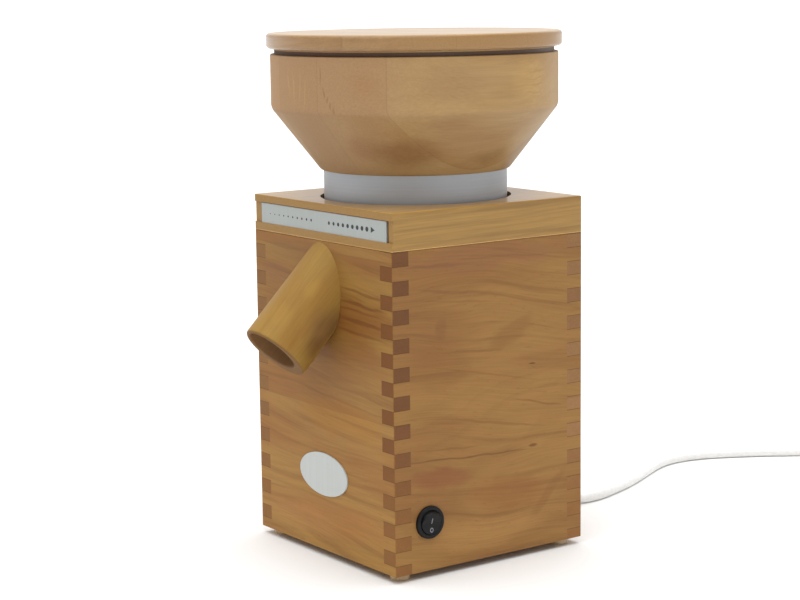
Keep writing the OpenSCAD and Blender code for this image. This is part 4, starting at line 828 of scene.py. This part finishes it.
# Everything else: metals, plastics, rubber and stone. grain is the cycles a metre of its fine unevenness,
# grainShare how much that lightens and darkens it, and bump how deep it is felt.
plainFinish = {"metal": 0.0, "gloss": 0.5, "roughSpread": 0.12, "grainRange": (0.3, 0.7),
               "bumpDepth": 0.0001}
finishSpecs = {
    # turned and satin brushed: soft, wide reflections, with fine rings round it drawn 1 mm apart, and painted
    # light that brightens it towards its lower edge
    "collarAluminium": {"name": "brushed aluminium", "colour": "#a5a8ac", "metal": 0.4, "rough": 0.5,
                        "grain": (4, 4, 900), "grainShare": 0.05, "bump": 0.1, "pale": (260, 274, 1.16)},
    # rolled, anodised and printed: pale, even and dull, with a faint grain along its length
    "plateAluminium": {"name": "satin anodised plate", "colour": "#a0a5a3", "rough": 0.45,
                       "grain": (900, 6, 6), "grainShare": 0.03, "bump": 0.03},
    "badgeAluminium": {"name": "pale satin badge", "colour": "#bcc0bd", "rough": 0.45,
                       "grain": (900, 6, 6), "grainShare": 0.03, "bump": 0.03},
    # cast in sand and left raw: grey, with a coarse skin of 2 mm grains
    "castAluminium": {"name": "cast aluminium", "colour": "#a9acae", "metal": 1.0, "rough": 0.5,
                      "grain": (450, 450, 450), "grainShare": 0.18, "bump": 0.5},
    # plated screws, bolts and turned shafts: bright, with small cloudy patches
    "steel": {"name": "zinc plated steel", "colour": "#bfc2c6", "metal": 1.0, "rough": 0.3,
              "grain": (300, 300, 300), "grainShare": 0.08, "bump": 0.05},
    # stamped sheets in a stack: level lines down its height, drawn 0.7 mm apart
    "laminations": {"name": "laminated core steel", "colour": "#6c6f73", "metal": 1.0, "rough": 0.5,
                    "grain": (8, 8, 1400), "grainShare": 0.3, "bump": 0.4},
    # wound and varnished wire: orange and glossy, in rows of 1 mm
    "copper": {"name": "enamelled copper wire", "colour": "#a65f2c", "metal": 1.0, "rough": 0.35,
               "grain": (30, 30, 900), "grainShare": 0.3, "bump": 0.6},
    # stamped and tinned blades: a pale yellow shine
    "brass": {"name": "tinned brass", "colour": "#c9b27c", "metal": 1.0, "rough": 0.3,
              "grain": (200, 200, 200), "grainShare": 0.08, "bump": 0.05},
    # bonded grit, drawn 1.4 mm coarse: rough, pale and dry
    "stone": {"name": "bonded corundum millstone", "colour": "#d9d1c2", "rough": 0.85,
              "grain": (700, 700, 700), "grainShare": 0.35, "bump": 0.9},
    # moulded in a sparked tool: almost black, with a soft sheen
    "blackPlastic": {"name": "black moulded ABS", "colour": "#070708", "rough": 0.45, "gloss": 0.26,
                     "grain": (1500, 1500, 1500), "grainShare": 0.15, "bump": 0.1},
    # moulded smooth: light grey and even
    "whitePlastic": {"name": "light grey moulded ABS", "colour": "#d9dad8", "rough": 0.4,
                     "grain": (1200, 1200, 1200), "grainShare": 0.04, "bump": 0.06},
    # extruded and soft: white, with a dull sheen along it
    "leadSheath": {"name": "white flexible PVC", "colour": "#eeeeec", "rough": 0.45,
                   "grain": (300, 300, 300), "grainShare": 0.05, "bump": 0.06},
    # moulded lip seal: dark and matt
    "blackRubber": {"name": "black rubber", "colour": "#161616", "rough": 0.6,
                    "grain": (600, 600, 600), "grainShare": 0.2, "bump": 0.1},
    # moulded can: pale and fairly smooth
    "capacitorCan": {"name": "pale capacitor can", "colour": "#cfd2d4", "rough": 0.35,
                     "grain": (300, 300, 300), "grainShare": 0.05, "bump": 0.03},
    # extruded insulation: an even blue
    "wireBlue": {"name": "blue wire insulation", "colour": "#3b5fa0", "rough": 0.4,
                 "grain": (400, 400, 400), "grainShare": 0.05, "bump": 0.02},
    # printed ink and filled paint: flat and matt
    "printInk": {"name": "dark printing ink", "colour": "#2c2d2f", "rough": 0.6,
                 "grain": (900, 900, 900), "grainShare": 0.1, "bump": 0.0},
    "markPaint": {"name": "grey marking paint", "colour": "#84858a", "rough": 0.6,
                  "grain": (900, 900, 900), "grainShare": 0.1, "bump": 0.0},
}


def finishMaterial(spec):
    finish = bpy.data.materials.new(spec["name"])
    finish.use_nodes = True
    tree = finish.node_tree
    add = partial(addNode, tree)
    shader = tree.nodes["Principled BSDF"]
    shader.inputs["Metallic"].default_value = spec["metal"]
    shader.inputs["Specular IOR Level"].default_value = spec["gloss"]
    place = add("ShaderNodeTexCoord").outputs["Object"]
    drawnOut = add("ShaderNodeVectorMath", (place, spec["grain"]), operation="MULTIPLY")
    noise = add("ShaderNodeTexNoise", {"Vector": drawnOut, "Scale": 1.0, "Detail": 3.0})
    low, high = 1 - spec["grainShare"], 1 + spec["grainShare"]
    shade = add("ShaderNodeMapRange", (noise, *spec["grainRange"], low, high))
    if "pale" in spec:  # painted light: brighter towards its lower edge
        low, high, tone = spec["pale"]
        height = add("ShaderNodeSeparateXYZ", (place,)).outputs["Z"]
        paler = add("ShaderNodeMapRange", (height, low * mm, high * mm, tone, 1.0))
        shade = add("ShaderNodeMath", (shade, paler), operation="MULTIPLY")
    shadeColour = add("ShaderNodeCombineColor", (shade, shade, shade))
    colour = layColours(tree, toLinear(spec["colour"]), [(1.0, shadeColour, "MULTIPLY")])
    tree.links.new(colour, shader.inputs["Base Color"])
    spread = spec["roughSpread"]
    rough = add("ShaderNodeMath", (noise, spread, spec["rough"] - spread / 2), operation="MULTIPLY_ADD")
    tree.links.new(rough.outputs[0], shader.inputs["Roughness"])
    if spec["bump"]:
        relief = add("ShaderNodeBump", {
            "Strength": spec["bump"], "Distance": spec["bumpDepth"], "Height": noise})
        tree.links.new(relief.outputs["Normal"], shader.inputs["Normal"])
    return finish


finishes = {key: finishMaterial({**plainFinish, **spec}) for key, spec in finishSpecs.items()}


# The feet: soft rubber, amber and half clear, so that the wood above shows through it
rubberSpec = {"name": "amber soft rubber", "colour": "#dcc19a", "clear": 0.15, "ior": 1.45,
              "grain": 400.0, "rough": (0.2, 0.4)}


def clearRubber(spec):
    rubber = bpy.data.materials.new(spec["name"])
    rubber.use_nodes = True
    tree = rubber.node_tree
    shader = tree.nodes["Principled BSDF"]
    place = addNode(tree, "ShaderNodeTexCoord").outputs["Object"]
    noise = addNode(tree, "ShaderNodeTexNoise", {"Vector": place, "Scale": spec["grain"], "Detail": 2.0})
    rough = addNode(tree, "ShaderNodeMapRange", (noise, 0.0, 1.0, *spec["rough"]))
    tree.links.new(rough.outputs[0], shader.inputs["Roughness"])
    shader.inputs["Base Color"].default_value = toLinear(spec["colour"])
    shader.inputs["Transmission Weight"].default_value = spec["clear"]
    shader.inputs["IOR"].default_value = spec["ior"]
    return rubber


finishes["clearRubber"] = clearRubber(rubberSpec)

# The setting scale printed on the strip: fine dots that grow, a bare middle, coarse dots and an arrow.
# Places are shares of the strip's length, sizes are millimetres.
scaleSpec = {
    "ink": 0.12,
    "sunk": 0.07,
    "sides": 16,
    "fine": {"count": 10, "start": 0.075, "step": 0.0382, "small": 0.9, "large": 2.0},
    "coarse": {"count": 9, "start": 0.562, "step": 0.0368, "small": 2.5, "large": 3.5},
    "arrow": {"start": 0.886, "length": 4.6, "height": 4.2},
}


def dotRow():
    # a row of flat round dots whose width grows evenly along the row
    tree = bpy.data.node_groups.new("dot row", "GeometryNodeTree")
    add = partial(addNode, tree)
    tree.interface.new_socket(name="Geometry", in_out="OUTPUT", socket_type="NodeSocketGeometry")
    kinds = {"Geometry": ["Geometry"], "Int": ["Count", "Sides"], "Vector": ["Start", "Step"],
             "Float": ["Small", "Large", "Ink"], "Material": ["Finish"]}
    for kind, names in kinds.items():
        for name in names:
            tree.interface.new_socket(name=name, in_out="INPUT", socket_type="NodeSocket" + kind)
    given = add("NodeGroupInput").outputs
    row = add("GeometryNodeMeshLine", {
        "Count": given["Count"], "Start Location": given["Start"], "Offset": given["Step"]}, mode="OFFSET")
    dot = add("GeometryNodeMeshCylinder", {"Vertices": given["Sides"], "Radius": 0.5, "Depth": 1.0})
    last = add("ShaderNodeMath", (given["Count"], 1.0), operation="SUBTRACT")
    order = add("GeometryNodeInputIndex")
    wide = add("ShaderNodeMapRange", (order, 0.0, last, given["Small"], given["Large"]))
    size = add("ShaderNodeCombineXYZ", (wide, wide, given["Ink"]))
    placed = add("GeometryNodeInstanceOnPoints", {
        "Points": row, "Instance": dot, "Rotation": (math.radians(90), 0, 0), "Scale": size})
    real = add("GeometryNodeRealizeInstances", {"Geometry": placed})
    inked = add("GeometryNodeSetMaterial", {"Geometry": real, "Material": given["Finish"]})
    add("NodeGroupOutput", {"Geometry": inked})
    return tree


def bakedMesh(name, tree, values):
    # the mesh that a tree makes with these inputs
    piece = linkObject(name, bpy.data.meshes.new(name))
    modifier = piece.modifiers.new("nodes", "NODES")
    modifier.node_group = tree
    sockets = {item.name: item.identifier for item in tree.interface.items_tree if item.in_out == "INPUT"}
    for key, value in values.items():
        modifier[sockets[key]] = value
    bpy.context.view_layer.update()
    mesh = bpy.data.meshes.new_from_object(piece.evaluated_get(bpy.context.evaluated_depsgraph_get()))
    bpy.data.objects.remove(piece)
    return mesh


def flatPrism(name, corners, front, back):
    # corners: (x, z) pairs in metres; front and back: the y of the two faces
    work = bmesh.new()
    faces = [[work.verts.new((x, y, z)) for x, z in corners] for y in (front, back)]
    for i in range(len(corners)):
        n = (i + 1) % len(corners)
        work.faces.new([faces[0][i], faces[0][n], faces[1][n], faces[1][i]])
    for loop in faces:
        work.faces.new(loop)
    bmesh.ops.recalc_face_normals(work, faces=work.faces)
    mesh = bpy.data.meshes.new(name)
    work.to_mesh(mesh)
    work.free()
    return mesh


def makeScale(spec, ink):
    low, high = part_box("scale_strip")
    length, middle = high.x - low.x, (low.z + high.z) / 2
    face = low.y - (spec["ink"] / 2 - spec["sunk"]) * mm
    tree = dotRow()
    runs = []
    for key in ("fine", "coarse"):
        run = spec[key]
        runs.append(bakedMesh(key + "Dots", tree, {
            "Count": run["count"], "Start": (low.x + run["start"] * length, face, middle),
            "Step": (run["step"] * length, 0.0, 0.0), "Small": run["small"] * mm, "Large": run["large"] * mm,
            "Ink": spec["ink"] * mm, "Sides": spec["sides"], "Finish": ink}))
    arrow = spec["arrow"]
    start, half = low.x + arrow["start"] * length, arrow["height"] / 2 * mm
    corners = [(start, middle - half), (start + arrow["length"] * mm, middle), (start, middle + half)]
    runs.append(flatPrism("arrow", corners, face - spec["ink"] / 2 * mm, face + spec["ink"] / 2 * mm))
    piece = linkObject("scale_print", joinMeshes("scale_print", runs))
    piece.data.materials.append(ink)
    return piece


# The two marks on the rocker: a stroke for on and a ring for off, laid on its hollow face
markSpec = {
    "lift": 0.05,
    "sunk": 0.15,
    "strokeHeight": 4.0,
    "strokeWidth": 0.75,
    "strokeUp": 1.4,
    "ringUp": -5.3,
    "ringTall": 1.75,
    "ringWide": 1.45,
    "ringLine": 0.62,
    "strokeSteps": 8,
    "ringSteps": 32,
    "castFrom": 50,
}


def makeRockerMarks(spec, paint):
    low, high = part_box("rocker")
    middleY = (low.y + high.y) / 2
    middleZ = (low.z + high.z) / 2
    rocker = nodes["rocker"].data
    skin = BVHTree.FromPolygons([v.co for v in rocker.vertices], [tuple(f.vertices) for f in rocker.polygons])

    def onFace(y, z):
        # the point of the rocker's face that a ray from outside meets
        start = Vector((high.x + spec["castFrom"] * mm, middleY + y * mm, middleZ + z * mm))
        return skin.ray_cast(start, Vector((-1, 0, 0)))[0]

    stroke, ring = [], []
    half = spec["strokeWidth"] / 2
    for i in range(spec["strokeSteps"] + 1):
        z = spec["strokeUp"] + spec["strokeHeight"] * (i / spec["strokeSteps"] - 0.5)
        stroke.append([(-half, z), (half, z)])
    for i in range(spec["ringSteps"]):
        a = 2 * math.pi * i / spec["ringSteps"]
        sizes = [(spec["ringWide"] - line, spec["ringTall"] - line) for line in (spec["ringLine"], 0)]
        ring.append([(wide * math.cos(a), spec["ringUp"] + tall * math.sin(a)) for wide, tall in sizes])
    work = bmesh.new()
    for rows, closed in ((stroke, False), (ring, True)):
        made = []
        for pair in rows:
            spots = [onFace(*spot) for spot in pair]
            top = [work.verts.new(spot + Vector((spec["lift"] * mm, 0, 0))) for spot in spots]
            under = [work.verts.new(spot - Vector((spec["sunk"] * mm, 0, 0))) for spot in spots]
            made.append(top + under)
        links = list(zip(made, made[1:])) + ([(made[-1], made[0])] if closed else [])
        for a, b in links:
            for i, k in ((0, 1), (1, 3), (3, 2), (2, 0)):
                work.faces.new([a[i], a[k], b[k], b[i]])
        if not closed:
            for end in (made[0], made[-1]):
                work.faces.new([end[0], end[1], end[3], end[2]])
    bmesh.ops.recalc_face_normals(work, faces=work.faces)
    mesh = bpy.data.meshes.new("rocker_marks")
    work.to_mesh(mesh)
    work.free()
    piece = linkObject("rocker_marks", mesh)
    piece.data.materials.append(paint)
    return piece


def makeSprings(steel):
    # the springs under the upper stone: a copy of the frame's springs, in plated steel
    springs = linkObject("compression_springs", nodes["lift_springs"].data.copy())
    springs.data.materials.clear()
    springs.data.materials.append(steel)
    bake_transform(springs)
    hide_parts("lift_springs")


makeSprings(finishes["steel"])
scalePrint = makeScale(scaleSpec, finishes["printInk"])
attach(scalePrint, "housing")
rockerMarks = makeRockerMarks(markSpec, finishes["markPaint"])
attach(rockerMarks, "switch_rocker")
print("prints made")

# Which finish each piece of the frame takes
dressing = {
    "front": ["front_panel", "rear_panel"],
    "side": ["left_panel", "right_panel"],
    "cover": ["top_cover"],
    "bowl": ["bowl_block_1", "bowl_block_2", "bowl_block_3", "bowl_block_4", "bowl_block_5"],
    "lid": ["lid"],
    "spout": ["spout"],
    "plywood": ["base_plate", "corner_blocks"],
    "clearRubber": ["feet"],
    "plateAluminium": ["scale_strip"],
    "badgeAluminium": ["badge"],
    "collarAluminium": ["collar"],
    "castAluminium": ["grinding_chamber", "stone_carrier", "upper_end_shield", "lower_end_shield"],
    "steel": ["base_screws", "chamber_screws", "tie_bolts", "hanger_sleeves", "bearings",
              "collar_screws", "motor_shaft", "runner_hub", "hub_screw", "flour_sweeper", "capacitor_clip",
              "guide_keys"],
    "laminations": ["stator", "rotor"],
    "copper": ["windings"],
    "stone": ["upper_stone", "lower_stone"],
    "blackPlastic": ["switch_housing", "rocker", "cooling_fan", "setting_mark"],
    "blackRubber": ["shaft_seal"],
    "whitePlastic": ["feed_funnel", "terminal_block", "cord_gland"],
    "capacitorCan": ["capacitor"],
    "brass": ["switch_terminals"],
    "wireBlue": ["wiring"],
}


def dressNode(name, material):
    mesh = nodes[name].data
    for i in range(len(mesh.materials)):
        mesh.materials[i] = material
    if not mesh.materials:
        mesh.materials.append(material)


for key, names in dressing.items():
    for name in names:
        dressNode(name, woods.get(key) or finishes[key])
lead.data.materials.append(finishes["leadSheath"])
plug.data.materials.append(finishes["leadSheath"])
prongs.data.materials.append(finishes["brass"])
print("pieces dressed")
